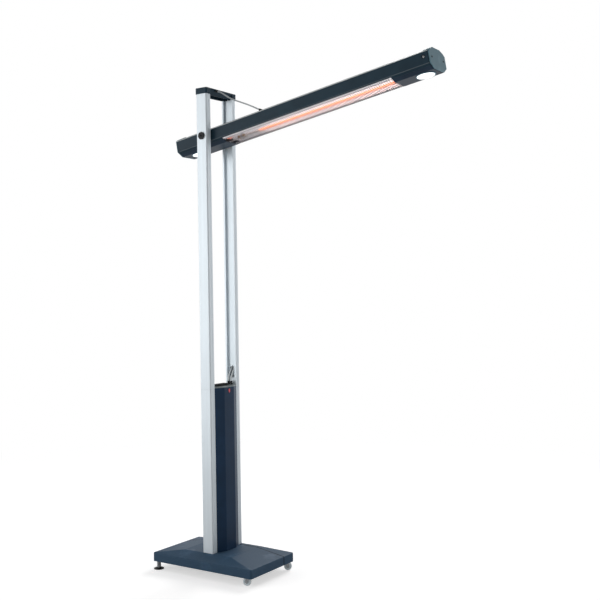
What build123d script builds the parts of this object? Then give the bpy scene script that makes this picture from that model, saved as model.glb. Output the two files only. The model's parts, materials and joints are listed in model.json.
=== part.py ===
from build123d import *
from math import atan2, cos, degrees, hypot, radians, sin
import os

# Infrared patio heater tower.  Millimetres.  The origin is on the floor, midway
# between the two masts.  +X runs along the heater arm, +Y is to its left, +Z is up.

# ---- base -------------------------------------------------------------------
base_length = 600.0          # X, over the moulded cover
base_width = 350.0           # Y
base_clearance = 40.0        # floor to the cover's lower rim
skirt_height = 42.0          # upright rim of the cover
hip_rise = 24.0              # from the rim to the flat top
plateau_length = 280.0
plateau_width = 233.0
cover_wall = 3.0
cover_corner = 8.0
cover_seam_y = 91.0          # where the side cover meets the main cover
cover_seam_gap = 1.2
cover_fit = 0.5              # round the masts

chassis_thickness = 6.0
chassis_recess = 12.0        # chassis underside above the cover's rim
chassis_fit = 0.3            # chassis edge to the cover's inside
chassis_lip = 9.0            # folded edge below the plate
lip_thickness = 3.0

ballast_end_margin = 50.0    # inside the base's edges
ballast_side_margin = 30.0
ballast_thickness = 12.0
ballast_top_overhang = 20.0  # past the flat top, at each end
ballast_fit = 2.0            # round the mast feet
ballast_joint = 0.2

# ---- levelling feet and castors -----------------------------------------------
foot_inset = 20.0            # from the two edges of the base
foot_pad_radius = 25.0
foot_pad_rim = 4.0
foot_pad_height = 9.0
foot_socket_radius = 12.0
foot_tip_radius = 8.0
foot_stem_radius = 10.0
foot_stem_spare = 4.0        # thread above the nut
foot_nut_radius = 17.0       # across corners
foot_nut_height = 10.0
foot_thread_fit = 0.08
foot_hole_fit = 0.6
foot_flat = 17.0             # spanner flats on the stem
foot_flat_height = 8.0

castor_inset = 30.0
castor_wheel_radius = 19.0
castor_wheel_width = 17.0
castor_tread_round = 4.0
castor_trail = 13.0
castor_axle_radius = 4.0
castor_running_fit = 0.05
castor_play = 0.4            # between pieces that turn on each other
castor_plate_radius = 15.0
castor_plate_height = 3.0
castor_crown_height = 3.0
castor_rivet_radius = 4.0
castor_rivet_head = 6.5
castor_rivet_head_height = 1.6
castor_stud_height = 16.0
castor_nut_radius = 8.0
castor_nut_height = 7.0
castor_leg_thickness = 2.0
castor_leg_round = 7.5
castor_axle_head = 1.5
castor_angles = {"right": 195.0, "left": 35.0}   # which way each wheel trails

# ---- masts ----------------------------------------------------------------------
mast_width = 63.0            # X
mast_depth = 30.0            # Y
mast_gap = 170.0             # between the two masts
mast_corner = 6.0
mast_wall = 2.5
channel_width = 45.0         # slot down the inner face
channel_depth = 11.0
groove_width = 2.0           # line down the narrow faces
groove_depth = 0.8
mast_joint_z = 893.0         # lower and upper lengths meet
mast_joint_gap = 0.6
mast_top_z = 2311.0
spigot_length = 160.0
spigot_fit = 0.3
foot_flange_length = 94.0
foot_flange_width = 42.0
foot_flange_height = 6.0
foot_plug_height = 80.0
foot_bolt_spacing = 78.0
foot_bolt_radius = 4.0
foot_bolt_head_radius = 6.5
foot_bolt_head_height = 5.0
bolt_fit = 0.2

# ---- bridge over the masts --------------------------------------------------------
bridge_length = 234.0        # Y
bridge_width = 69.0          # X
bridge_height = 29.0
bridge_corner = 7.0
bridge_wall = 3.0
bridge_bow = 7.0             # how far the back bows out between the masts
bridge_undercut = 18.0       # how far the front leans back to its lower edge
bridge_brow = 4.0            # upright band over the leaning front
bridge_edge_round = 2.0
hatch_length = 64.0          # Y, cover over the joint box in the bridge
hatch_width = 40.0
hatch_height = 4.0
hatch_y = 44.0
plug_height = 40.0
wire_way_width = 28.0

# ---- electrics box ------------------------------------------------------------------
box_top_z = 902.0
box_bay_depth = 54.0         # middle to the flat of the bay front
box_flat_width = 74.0
box_wall = 2.5
box_split_gap = 0.8          # between the front and rear shells
box_corner = 5.0
box_lid_height = 5.0
lid_pad_length = 90.0
lid_pad_width = 34.0
lid_pad_height = 8.5
lid_pad_round = 3.0
pilot_z = 880.0
pilot_width = 10.0
pilot_height = 19.0
pilot_proud = 1.6
vent_count = 12
vent_pitch = 9.0
vent_length = 60.0
vent_height = 3.5
vent_first_z = 200.0
box_gland_spacing = 17.0
box_gland_y = 75.5
gland_nut_radius = 8.0
gland_nut_height = 5.0
gland_body_radius = 6.4
gland_length = 17.0
riser_radius = 3.0
riser_clearance = 3.0        # beside the pivot bush
riser_hole_z = 962.0
riser_hole_height = 56.0
riser_hole_width = 28.0
mains_gland_z = 150.0
mains_gland_bore = 5.0
mains_gland_nut = 12.0
mains_gland_length = 22.0
mains_gland_inner = 12.0
control_plate_width = 120.0
control_plate_height = 680.0
control_plate_thickness = 2.0
board_thickness = 1.6

# ---- heater arm ----------------------------------------------------------------------
arm_tilt = 10.0              # degrees above level, as it stands
pivot_drop = 201.0           # pivot below the masts' tops
arm_reach = 1205.0           # pivot to the outer end
arm_tail = 192.0             # pivot to the short end
arm_corner = 3.0             # outside corners of the profile
arm_half_width = 79.0
arm_wall_top = 29.0          # above the pivot, square to the arm
arm_crest = 46.5             # flat of the top above the pivot
arm_crest_half = 36.0
arm_wall_bottom = -25.5
arm_floor = -47.0
arm_floor_half = 46.0
lip_half = 66.0
lip_level = -34.0
arm_sheet = 2.5
cover_sheet = 2.0
cover_joint = 0.6
cap_thickness = 5.0
cap_shadow = 1.5             # dark joint behind the end plate
cap_inset = 1.2
cap_plug_length = 10.0
visor_length = 26.0
visor_height = 2.6
visor_half = 71.0
groove_along = 4.5           # line under the wall, from the lower corner
profile_groove = 1.4
grille_start = 90.0          # from the pivot
outer_cover_span = 191.0     # from the outer end back to the grille

wire_radius = 1.25
wire_pitch = 11.0
wire_corner = 5.0
wire_along = -4.66           # wire ends, along the chamfer from the lip
weld_sink = 0.6
rail_setback = 1.6           # rail behind the wires' ends
rail_offset = 24.0
reflector_sheet = 1.0
reflector_crown = 8.0
reflector_half = 61.0
reflector_flange = 67.6      # rests on the housing's lips
reflector_level = -29.5
reflector_end_lean = 24.0
lamp_level = -32.0
lamp_radius = 7.0
lamp_wall = 1.2
lamp_setback = 86.0          # lamp's inner end past the grille's start
lamp_overrun = 82.0          # lamp's outer end past the grille's end
lamp_cold_inner = 87.0       # unheated length at each end of the lamp
lamp_cold_outer = 84.0
filament_radius = 2.2
lamp_base_length = 42.0
lamp_base_width = 20.0
lamp_base_height = 14.0
clip_width = 10.0
clip_sheet = 1.5
led_radius = 40.0            # lens
led_bezel_width = 3.5
led_bezel_height = 3.0
led_dome = 5.0
led_lens_sheet = 2.5
led_tail_inset = 80.0        # spot's middle from the short end
led_outer_inset = 65.0       # spot's middle from the outer end
led_board_thickness = 2.0
led_sink_height = 1.8
led_fit = 0.3

pivot_bolt_radius = 6.0
pivot_bush_radius = 10.0
pivot_running_fit = 0.05
pivot_block_height = 60.0
pivot_block_fit = 0.2
pivot_head_radius = 18.0
pivot_head_height = 6.0
pivot_head_gap = 0.3
pivot_ring_radius = 12.5
pivot_socket = 5.5           # hexagon, across corners / 2
pivot_plate_length = 90.0
pivot_plate_height = 44.0
pivot_plate_thickness = 5.0
pivot_nut_radius = 10.8
pivot_nut_height = 10.0
pivot_disc_radius = 21.0

screw_radius = 2.5
cap_screw_y = 55.0
cap_screw_n = 3.0
side_screw_u = 28.0          # from the outer end
side_screw_n = 7.0
side_hole_radius = 8.0
side_screw_head = 5.5

lead_radius = 3.5
grommet_radius = 5.0
grommet_length = 14.0
arm_gland_u = 286.0
arm_gland_boss = 8.0
arm_gland_height = 12.0
arm_gland_length = 14.0
seat_gap = 0.3               # between pieces that rest on each other without touching

# ---- places worked out from those sizes ---------------------------------------------
skirt_top_z = base_clearance + skirt_height
plateau_z = skirt_top_z + hip_rise
chassis_z = base_clearance + chassis_recess
chassis_top_z = chassis_z + chassis_thickness
mast_inner_y = mast_gap / 2
mast_outer_y = mast_inner_y + mast_depth
mast_mid_y = mast_inner_y + mast_depth / 2
web_y = mast_inner_y + channel_depth
chamber_width = mast_width - 2 * mast_wall
chamber_depth = mast_depth - channel_depth - 2 * mast_wall
chamber_y = web_y + mast_wall + chamber_depth / 2
mast_foot_z = chassis_top_z + foot_flange_height
bridge_top_z = mast_top_z + bridge_height
pivot_z = mast_top_z - pivot_drop
ballast_length = base_length - 2 * ballast_end_margin
ballast_width = base_width - 2 * ballast_side_margin
ballast_top_length = plateau_length + 2 * ballast_top_overhang
ballast_top_width = 2 * (mast_mid_y - foot_flange_width / 2) - ballast_fit
grille_end = arm_reach - outer_cover_span
lamp_start = grille_start + lamp_setback
lamp_end = grille_end + lamp_overrun
filament_start = lamp_start + lamp_cold_inner
filament_end = lamp_end - lamp_cold_outer
led_inner_u = led_tail_inset - arm_tail
led_outer_u = arm_reach - led_outer_inset
sides = {"right": -1, "left": 1}

pivot = Vector(0, 0, pivot_z)
along_arm = Vector(cos(radians(arm_tilt)), 0, sin(radians(arm_tilt)))
up_from_arm = Vector(-sin(radians(arm_tilt)), 0, cos(radians(arm_tilt)))


def arm_point(u, y, n):
    """A point u along the arm from the pivot, y to its left and n above it."""
    return pivot + along_arm * u + up_from_arm * n + Vector(0, y, 0)


def across_arm(u):
    """The plane square to the arm: its X is the model's Y, its Y points up from the arm."""
    return Plane(origin=arm_point(u, 0, 0), x_dir=(0, 1, 0), z_dir=along_arm)


def over_arm(u, n, y=0.0):
    """A plane that lies along the arm at height n: its X runs along the arm."""
    return Plane(origin=arm_point(u, y, n), x_dir=along_arm, z_dir=up_from_arm)


def beside_arm(y, u=0.0, n=0.0):
    """A plane beside the arm, facing +Y: its X runs along the arm, its Y points down."""
    return Plane(origin=arm_point(u, y, n), x_dir=along_arm, z_dir=(0, 1, 0))


def write(piece, name):
    """Label a finished piece and write it as its own file."""
    piece.part.label = name
    export_step(piece.part, f"parts/{name}.step")


os.makedirs("parts", exist_ok=True)


# ==== base ============================================================================
def hipped_cover(y_low, y_high):
    """The moulded cover between two values of Y: an upright rim, four slopes and a flat top."""
    with BuildPart() as cover:
        for wall in (0.0, cover_wall):
            mode = Mode.ADD if wall == 0.0 else Mode.SUBTRACT
            corner = cover_corner - wall
            with BuildSketch(Plane.XY.offset(base_clearance)):
                RectangleRounded(base_length - 2 * wall, base_width - 2 * wall, corner)
            extrude(amount=skirt_height - wall / 2, mode=mode)
            with BuildSketch(Plane.XY.offset(skirt_top_z - wall / 2)):
                RectangleRounded(base_length - 2 * wall, base_width - 2 * wall, corner)
            with BuildSketch(Plane.XY.offset(plateau_z - wall)):
                RectangleRounded(plateau_length, plateau_width, corner)
            loft(mode=mode)
        with BuildSketch(Plane.XY.offset(base_clearance)):
            with Locations((0, mast_mid_y), (0, -mast_mid_y)):
                Rectangle(mast_width + 2 * cover_fit, mast_depth + 2 * cover_fit)
        extrude(amount=skirt_height + hip_rise, mode=Mode.SUBTRACT)
        with BuildSketch(Plane.XY.offset(base_clearance)):
            with Locations((0, (y_low + y_high) / 2)):
                Rectangle(base_length, y_high - y_low)
        extrude(amount=skirt_height + hip_rise, mode=Mode.INTERSECT)
    return cover


base_cover_main = hipped_cover(-base_width / 2, cover_seam_y - cover_seam_gap / 2)
write(base_cover_main, "base_cover_main")
base_cover_side = hipped_cover(cover_seam_y + cover_seam_gap / 2, base_width / 2)
write(base_cover_side, "base_cover_side")

chassis_length = base_length - 2 * (cover_wall + chassis_fit)
chassis_width = base_width - 2 * (cover_wall + chassis_fit)
foot_x = -(base_length / 2 - foot_inset)
foot_y = base_width / 2 - foot_inset
castor_x = base_length / 2 - castor_inset
castor_y = base_width / 2 - castor_inset
foot_bolt_places = [(side_x * foot_bolt_spacing / 2, side * mast_mid_y)
                    for side in sides.values() for side_x in (-1, 1)]

with BuildPart() as chassis_plate:
    with BuildSketch(Plane.XY.offset(chassis_z)):
        RectangleRounded(chassis_length, chassis_width, cover_corner - cover_wall)
    extrude(amount=chassis_thickness)
    with BuildSketch(Plane.XY.offset(chassis_z)):
        RectangleRounded(chassis_length, chassis_width, cover_corner - cover_wall)
        Rectangle(chassis_length - 2 * lip_thickness, chassis_width - 2 * lip_thickness,
                  mode=Mode.SUBTRACT)
    extrude(amount=-chassis_lip)
    with BuildSketch(Plane.XY.offset(chassis_z)):
        with Locations((foot_x, foot_y), (foot_x, -foot_y)):
            Circle(foot_stem_radius + foot_hole_fit)
        with Locations((castor_x, castor_y), (castor_x, -castor_y)):
            Circle(castor_rivet_radius + bolt_fit)
        with Locations(*foot_bolt_places):
            Circle(foot_bolt_radius + bolt_fit)
    extrude(amount=chassis_thickness, mode=Mode.SUBTRACT)
write(chassis_plate, "chassis_plate")

with BuildPart() as ballast_plates:
    for layer in range(3):
        with BuildSketch(Plane.XY.offset(chassis_top_z + layer * ballast_thickness)):
            if layer < 2:
                Rectangle(ballast_length, ballast_width)
                with Locations((0, mast_mid_y), (0, -mast_mid_y)):
                    Rectangle(foot_flange_length + 2 * ballast_fit, foot_flange_width + 2 * ballast_fit,
                              mode=Mode.SUBTRACT)
            else:
                Rectangle(ballast_top_length, ballast_top_width)
        extrude(amount=ballast_thickness - ballast_joint)
write(ballast_plates, "ballast_plates")

with BuildPart() as mast_feet:
    for side in sides.values():
        with BuildSketch(Plane.XY.offset(chassis_top_z)):
            with Locations((0, side * mast_mid_y)):
                Rectangle(foot_flange_length, foot_flange_width)
            with Locations((foot_bolt_spacing / 2, side * mast_mid_y),
                           (-foot_bolt_spacing / 2, side * mast_mid_y)):
                Circle(foot_bolt_radius + bolt_fit, mode=Mode.SUBTRACT)
        extrude(amount=foot_flange_height)
        with BuildSketch(Plane.XY.offset(mast_foot_z)):
            with Locations((0, side * chamber_y)):
                Rectangle(chamber_width - 2 * spigot_fit, chamber_depth - 2 * spigot_fit)
        extrude(amount=foot_plug_height)
write(mast_feet, "mast_feet")

with BuildPart() as mast_foot_bolts:
    for x, y in foot_bolt_places:
        with BuildSketch(Plane.XY.offset(mast_foot_z)):
            with Locations((x, y)):
                RegularPolygon(foot_bolt_head_radius, 6)
        extrude(amount=foot_bolt_head_height)
        with BuildSketch(Plane.XY.offset(mast_foot_z)):
            with Locations((x, y)):
                Circle(foot_bolt_radius)
        extrude(amount=-(foot_flange_height + chassis_thickness))
write(mast_foot_bolts, "mast_foot_bolts")

with BuildPart() as foot_nuts:
    with BuildSketch(Plane.XY.offset(chassis_top_z)):
        with Locations((foot_x, foot_y), (foot_x, -foot_y)):
            RegularPolygon(foot_nut_radius, 6)
            Circle(foot_stem_radius + foot_thread_fit, mode=Mode.SUBTRACT)
    extrude(amount=foot_nut_height)
write(foot_nuts, "foot_nuts")

for name, side in sides.items():
    place = (foot_x, side * foot_y)
    with BuildPart() as foot_pad:
        with BuildSketch(Plane.XY):
            with Locations(place):
                Circle(foot_pad_radius)
        extrude(amount=foot_pad_rim)
        with BuildSketch(Plane.XY.offset(foot_pad_rim)):
            with Locations(place):
                Circle(foot_pad_radius - 1)
        with BuildSketch(Plane.XY.offset(foot_pad_height)):
            with Locations(place):
                Circle(foot_socket_radius)
        loft()
        with BuildSketch(Plane.XY.offset(foot_pad_rim)):
            with Locations(place):
                Circle(foot_tip_radius)
        extrude(amount=foot_pad_height, mode=Mode.SUBTRACT)
    write(foot_pad, f"foot_{name}_pad")
    with BuildPart() as foot_stem:
        with BuildSketch(Plane.XY.offset(foot_pad_rim)):
            with Locations(place):
                Circle(foot_tip_radius)
        extrude(amount=foot_pad_height - foot_pad_rim)
        with BuildSketch(Plane.XY.offset(foot_pad_height)):
            with Locations(place):
                Circle(foot_stem_radius)
                Rectangle(foot_flat, 2 * foot_stem_radius, mode=Mode.INTERSECT)
        extrude(amount=foot_flat_height)
        with BuildSketch(Plane.XY.offset(foot_pad_height + foot_flat_height)):
            with Locations(place):
                Circle(foot_stem_radius)
        stem_top_z = chassis_top_z + foot_nut_height + foot_stem_spare
        extrude(amount=stem_top_z - foot_pad_height - foot_flat_height)
    write(foot_stem, f"foot_{name}_stem")

# ==== castors ==========================================================================
fork_half = castor_wheel_width / 2 + castor_play
crown_top_z = chassis_z - castor_plate_height - castor_play
crown_z = crown_top_z - castor_crown_height
with BuildPart() as castor_mounts:
    for side in sides.values():
        place = (castor_x, side * castor_y)
        for z, radius, height in (
            (crown_top_z + castor_play, castor_plate_radius, castor_plate_height),
            (chassis_z, castor_rivet_radius, castor_stud_height),
            (crown_z - castor_play, castor_rivet_radius, crown_top_z - crown_z + 2 * castor_play),
            (crown_z - castor_play, castor_rivet_head, -castor_rivet_head_height),
        ):
            with BuildSketch(Plane.XY.offset(z)):
                with Locations(place):
                    Circle(radius)
            extrude(amount=height)
        with BuildSketch(Plane.XY.offset(chassis_top_z)):
            with Locations(place):
                RegularPolygon(castor_nut_radius, 6)
        extrude(amount=castor_nut_height)
write(castor_mounts, "castor_mounts")

for name, side in sides.items():
    turn = radians(castor_angles[name])
    ahead = Vector(cos(turn), sin(turn), 0)
    left = Vector(-sin(turn), cos(turn), 0)
    king = Vector(castor_x, side * castor_y, 0)
    hub = king + ahead * castor_trail + Vector(0, 0, castor_wheel_radius)
    with BuildPart() as castor_fork:
        with BuildSketch(Plane(origin=king + Vector(0, 0, crown_z), x_dir=ahead, z_dir=(0, 0, 1))):
            Circle(castor_plate_radius)
            Rectangle(2 * castor_plate_radius, 2 * (fork_half + castor_leg_thickness),
                      mode=Mode.INTERSECT)
            Circle(castor_rivet_radius + castor_running_fit, mode=Mode.SUBTRACT)
        extrude(amount=castor_crown_height)
        leg_top = crown_z + castor_crown_height - castor_wheel_radius
        leg_reach = castor_plate_radius * 0.8
        for leg_side in (-1, 1):
            leg_y = leg_side * (fork_half + castor_leg_thickness / 2) + castor_leg_thickness / 2
            leg_plane = Plane(origin=hub + left * leg_y, x_dir=ahead, z_dir=-left)
            with BuildSketch(leg_plane):
                with BuildLine():
                    Polyline(
                        (-castor_trail - leg_reach, leg_top),
                        (-castor_trail + leg_reach, leg_top),
                        (castor_leg_round, 0),
                        (-castor_leg_round, 0),
                        (-castor_trail - leg_reach, leg_top - castor_crown_height),
                        close=True,
                    )
                make_face()
                Circle(castor_leg_round)
            extrude(amount=castor_leg_thickness)
        axle_half = fork_half + castor_leg_thickness
        with BuildSketch(Plane(origin=hub - left * axle_half, x_dir=ahead, z_dir=left)):
            Circle(castor_axle_radius)
        extrude(amount=2 * axle_half)
        for end in (-1, 1):
            with BuildSketch(Plane(origin=hub + left * end * axle_half, x_dir=ahead, z_dir=left * end)):
                Circle(castor_axle_radius + castor_axle_head)
            extrude(amount=castor_axle_head)
    write(castor_fork, f"castor_{name}_fork")
    with BuildPart() as castor_wheel:
        wheel_plane = Plane(origin=hub - left * castor_wheel_width / 2, x_dir=ahead, z_dir=left)
        with BuildSketch(wheel_plane):
            Circle(castor_wheel_radius)
        extrude(amount=castor_wheel_width)
        fillet(castor_wheel.edges(), castor_tread_round)
        with BuildSketch(wheel_plane):
            Circle(castor_axle_radius + castor_running_fit)
        extrude(amount=castor_wheel_width, mode=Mode.SUBTRACT)
    write(castor_wheel, f"castor_{name}_wheel")


# ==== masts ==============================================================================
def mast_section(side):
    """The aluminium profile in the sketch that is open: a chamber, and a slot in the inner face."""
    with Locations((0, side * mast_mid_y)):
        Rectangle(mast_width, mast_depth)
    outer = [v for v in section.vertices() if abs(v.Y) > mast_mid_y]
    fillet(outer, mast_corner)
    with Locations((0, side * (mast_inner_y + channel_depth / 2))):
        Rectangle(channel_width, channel_depth, mode=Mode.SUBTRACT)
    with Locations((0, side * chamber_y)):
        Rectangle(chamber_width, chamber_depth, mode=Mode.SUBTRACT)
    with Locations((mast_width / 2, side * web_y), (-mast_width / 2, side * web_y)):
        Rectangle(2 * groove_depth, groove_width, mode=Mode.SUBTRACT)


for name, side in sides.items():
    with BuildPart() as mast_lower:
        with BuildSketch(Plane.XY.offset(mast_foot_z)) as section:
            mast_section(side)
        extrude(amount=mast_joint_z - mast_joint_gap / 2 - mast_foot_z)
    write(mast_lower, f"mast_{name}_lower")
    with BuildPart() as mast_upper:
        with BuildSketch(Plane.XY.offset(mast_joint_z + mast_joint_gap / 2)) as section:
            mast_section(side)
        extrude(amount=mast_top_z - mast_joint_z - mast_joint_gap / 2)
        with BuildSketch(Plane(origin=(0, side * mast_inner_y, pivot_z), x_dir=(1, 0, 0),
                               z_dir=(0, side, 0))):
            Circle(pivot_bush_radius + pivot_running_fit)
        extrude(amount=mast_depth, mode=Mode.SUBTRACT)
        if side > 0:
            with BuildSketch(Plane(origin=(0, web_y, riser_hole_z), x_dir=(1, 0, 0), z_dir=(0, 1, 0))):
                RectangleRounded(riser_hole_width, riser_hole_height, riser_hole_width / 4)
            extrude(amount=mast_wall, mode=Mode.SUBTRACT)
    write(mast_upper, f"mast_{name}_upper")

spigot_low_z = mast_joint_z - spigot_length / 2
prong_width = (chamber_width - wire_way_width) / 2 - spigot_fit
prong_x = (wire_way_width + prong_width) / 2
prong_places = [(prong * prong_x, side * chamber_y) for side in sides.values() for prong in (-1, 1)]
with BuildPart() as mast_spigots:
    with BuildSketch(Plane.XY.offset(spigot_low_z)):
        with Locations(*prong_places):
            Rectangle(prong_width, chamber_depth - 2 * spigot_fit)
    extrude(amount=spigot_length)
write(mast_spigots, "mast_spigots")

# ==== bridge ==============================================================================
lead_route = [
    # (x, y, z) of the lead from the bridge towards the arm
    (38, -42, mast_top_z + 19),
    (55, -38, mast_top_z + 15),
    (73, -29, mast_top_z + 1),
    (95, -18, mast_top_z - 16),
    (124, -8, mast_top_z - 30),
    (160, -3, mast_top_z - 44.5),
    (204, 0, mast_top_z - 62),
]
lead_start = Vector(*lead_route[0])
lead_out = (Vector(*lead_route[1]) - lead_start).normalized()
grommet_plane = Plane(origin=lead_start - lead_out * grommet_length, z_dir=lead_out)

with BuildPart() as bridge_yoke:
    with BuildSketch(Plane.XY.offset(mast_top_z)):
        RectangleRounded(bridge_width, bridge_length, bridge_corner)
        with BuildLine():
            back = -bridge_width / 2
            Line((back, -mast_inner_y), (back, mast_inner_y))
            ThreePointArc((back, mast_inner_y), (back - bridge_bow, 0), (back, -mast_inner_y))
        make_face()
    extrude(amount=bridge_height)
    fillet(bridge_yoke.faces().sort_by(Axis.Z)[-1].edges(), bridge_edge_round)
    front = bridge_width / 2
    with BuildSketch(Plane.XZ):
        with BuildLine():
            Polyline(
                (front - bridge_undercut, mast_top_z),
                (front, bridge_top_z - bridge_brow),
                (front + bridge_wall, bridge_top_z - bridge_brow),
                (front + bridge_wall, mast_top_z),
                close=True,
            )
        make_face()
    extrude(amount=mast_inner_y, both=True, mode=Mode.SUBTRACT)
    with BuildSketch(Plane.XZ):
        with BuildLine():
            Polyline(
                (back + bridge_wall, mast_top_z),
                (front - bridge_undercut - bridge_brow, mast_top_z),
                (front - bridge_brow, bridge_top_z - bridge_wall),
                (back + bridge_wall, bridge_top_z - bridge_wall),
                close=True,
            )
        make_face()
    extrude(amount=mast_inner_y - bridge_wall, both=True, mode=Mode.SUBTRACT)
    with BuildSketch(Plane.XY.offset(mast_top_z)):
        with Locations((0, chamber_y / 2)):
            Rectangle(wire_way_width, chamber_y + chamber_depth)
    extrude(amount=bridge_height - bridge_wall, mode=Mode.SUBTRACT)
    with BuildSketch(Plane.XY.offset(mast_top_z)):
        with Locations(*prong_places):
            Rectangle(prong_width, chamber_depth - 2 * spigot_fit)
    extrude(amount=-plug_height)
    with BuildSketch(grommet_plane):
        Circle(grommet_radius + bolt_fit)
    extrude(amount=grommet_length, mode=Mode.SUBTRACT)
write(bridge_yoke, "bridge_yoke")

with BuildPart() as bridge_hatch:
    with BuildSketch(Plane.XY.offset(bridge_top_z)):
        with Locations((0, hatch_y)):
            RectangleRounded(hatch_width, hatch_length, bridge_corner)
    extrude(amount=hatch_height)
    chamfer(bridge_hatch.faces().sort_by(Axis.Z)[-1].edges(), hatch_height / 2)
write(bridge_hatch, "bridge_hatch")

with BuildPart() as bridge_grommet:
    with BuildSketch(grommet_plane):
        Circle(grommet_radius)
    extrude(amount=grommet_length)
write(bridge_grommet, "bridge_grommet")

# ==== electrics box ==========================================================================
box_half_width = mast_gap / 2
box_side_x = mast_width / 2


def box_outline(inset):
    """Plan of the box between the masts, in the sketch that is open: a three-faced bay each way."""
    side_y = box_half_width - inset
    flat_y = box_flat_width / 2 - inset / 4
    side_x = box_side_x - inset / 2
    flat_x = box_bay_depth - inset
    Polygon(
        (side_x, -side_y), (flat_x, -flat_y), (flat_x, flat_y), (side_x, side_y),
        (-side_x, side_y), (-flat_x, flat_y), (-flat_x, -flat_y), (-side_x, -side_y),
        align=None,
    )


def box_shell(x_low, x_high):
    """One half of the box's housing: a bent sheet, open at the split, the top and the bottom."""
    with BuildPart() as shell:
        for inset in (0.0, box_wall):
            with BuildSketch(Plane.XY.offset(plateau_z)) as plan:
                box_outline(inset)
                bays = [v for v in plan.vertices() if abs(v.X) > box_side_x + 1]
                fillet(bays, box_corner - inset)
            extrude(amount=box_top_z - box_lid_height - plateau_z,
                    mode=Mode.SUBTRACT if inset else Mode.ADD)
        with BuildSketch(Plane.XY.offset(plateau_z)):
            with Locations(((x_low + x_high) / 2, 0)):
                Rectangle(x_high - x_low, mast_gap)
        extrude(amount=box_top_z - plateau_z, mode=Mode.INTERSECT)
    return shell.part


front_shell = box_shell(box_split_gap / 2, box_bay_depth)
back_shell = box_shell(-box_bay_depth, -box_split_gap / 2)
pilot_plane = Plane(origin=(box_bay_depth - box_wall, 0, pilot_z), x_dir=(0, 1, 0), z_dir=(1, 0, 0))
with BuildPart() as box_front:
    add(front_shell)
    with BuildSketch(pilot_plane):
        SlotOverall(pilot_height, pilot_width, rotation=90)
    extrude(amount=box_wall, mode=Mode.SUBTRACT)
write(box_front, "box_front")

with BuildPart() as pilot_lens:
    with BuildSketch(pilot_plane):
        SlotOverall(pilot_height, pilot_width, rotation=90)
    extrude(amount=box_wall + pilot_proud)
    fillet(pilot_lens.faces().sort_by(Axis.X)[-1].edges(), pilot_proud * 0.6)
write(pilot_lens, "pilot_lens")

back_plane = Plane(origin=(-box_bay_depth, 0, 0), x_dir=(0, 1, 0), z_dir=(1, 0, 0))
with BuildPart() as box_back:
    add(back_shell)
    with BuildSketch(back_plane):
        for slot in range(vent_count):
            with Locations((0, vent_first_z + slot * vent_pitch)):
                SlotOverall(vent_length, vent_height)
        with Locations((0, mains_gland_z)):
            Circle(mains_gland_nut * 0.7)
    extrude(amount=box_wall, mode=Mode.SUBTRACT)
write(box_back, "box_back")

with BuildPart() as mains_gland:
    gland_plane = Plane(origin=(-box_bay_depth, 0, mains_gland_z), x_dir=(0, 1, 0), z_dir=(-1, 0, 0))
    with BuildSketch(gland_plane):
        RegularPolygon(mains_gland_nut, 6)
    extrude(amount=mains_gland_length * 0.4)
    with BuildSketch(gland_plane.offset(mains_gland_length * 0.4)):
        Circle(mains_gland_nut * 0.8)
    extrude(amount=mains_gland_length * 0.6)
    fillet(mains_gland.faces().sort_by(Axis.X)[0].edges(), mains_gland_nut * 0.2)
    with BuildSketch(gland_plane):
        Circle(mains_gland_nut * 0.7)
    extrude(amount=-mains_gland_inner)
    with BuildSketch(gland_plane.offset(-mains_gland_inner)):
        Circle(mains_gland_bore)
    extrude(amount=mains_gland_length + mains_gland_inner, mode=Mode.SUBTRACT)
write(mains_gland, "mains_gland")

gland_places = [(-box_gland_spacing / 2, box_gland_y), (box_gland_spacing / 2, box_gland_y)]
with BuildPart() as box_lid:
    with BuildSketch(Plane.XY.offset(box_top_z - box_lid_height)) as lid_plan:
        box_outline(0)
        fillet([v for v in lid_plan.vertices() if abs(v.X) > box_side_x + 1], box_corner)
        with Locations(*gland_places):
            Circle(gland_body_radius, mode=Mode.SUBTRACT)
    extrude(amount=box_lid_height)
write(box_lid, "box_lid")

with BuildPart() as lid_pad:
    with BuildSketch(Plane.XY.offset(box_top_z)):
        RectangleRounded(lid_pad_width, lid_pad_length, lid_pad_round)
    extrude(amount=lid_pad_height)
    fillet(lid_pad.faces().sort_by(Axis.Z)[-1].edges(), lid_pad_round * 0.8)
write(lid_pad, "lid_pad")

with BuildPart() as box_glands:
    for place in gland_places:
        with BuildSketch(Plane.XY.offset(box_top_z)):
            with Locations(place):
                RegularPolygon(gland_nut_radius, 6)
        extrude(amount=gland_nut_height)
        with BuildSketch(Plane.XY.offset(box_top_z - box_lid_height)):
            with Locations(place):
                Circle(gland_body_radius)
        extrude(amount=box_lid_height + gland_length * 0.8)
        with BuildSketch(Plane.XY.offset(box_top_z + gland_length * 0.8)):
            with Locations(place):
                Circle(gland_body_radius)
        with BuildSketch(Plane.XY.offset(box_top_z + gland_length)):
            with Locations(place):
                Circle(riser_radius + 1.5)
        loft()
        with BuildSketch(Plane.XY.offset(box_top_z - box_lid_height)):
            with Locations(place):
                Circle(riser_radius)
        extrude(amount=box_lid_height + gland_length, mode=Mode.SUBTRACT)
write(box_glands, "box_glands")

with BuildPart() as control_plate:
    with BuildSketch(Plane.XY.offset(plateau_z)):
        Rectangle(control_plate_thickness, control_plate_width)
    extrude(amount=control_plate_height)
write(control_plate, "control_plate")

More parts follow.
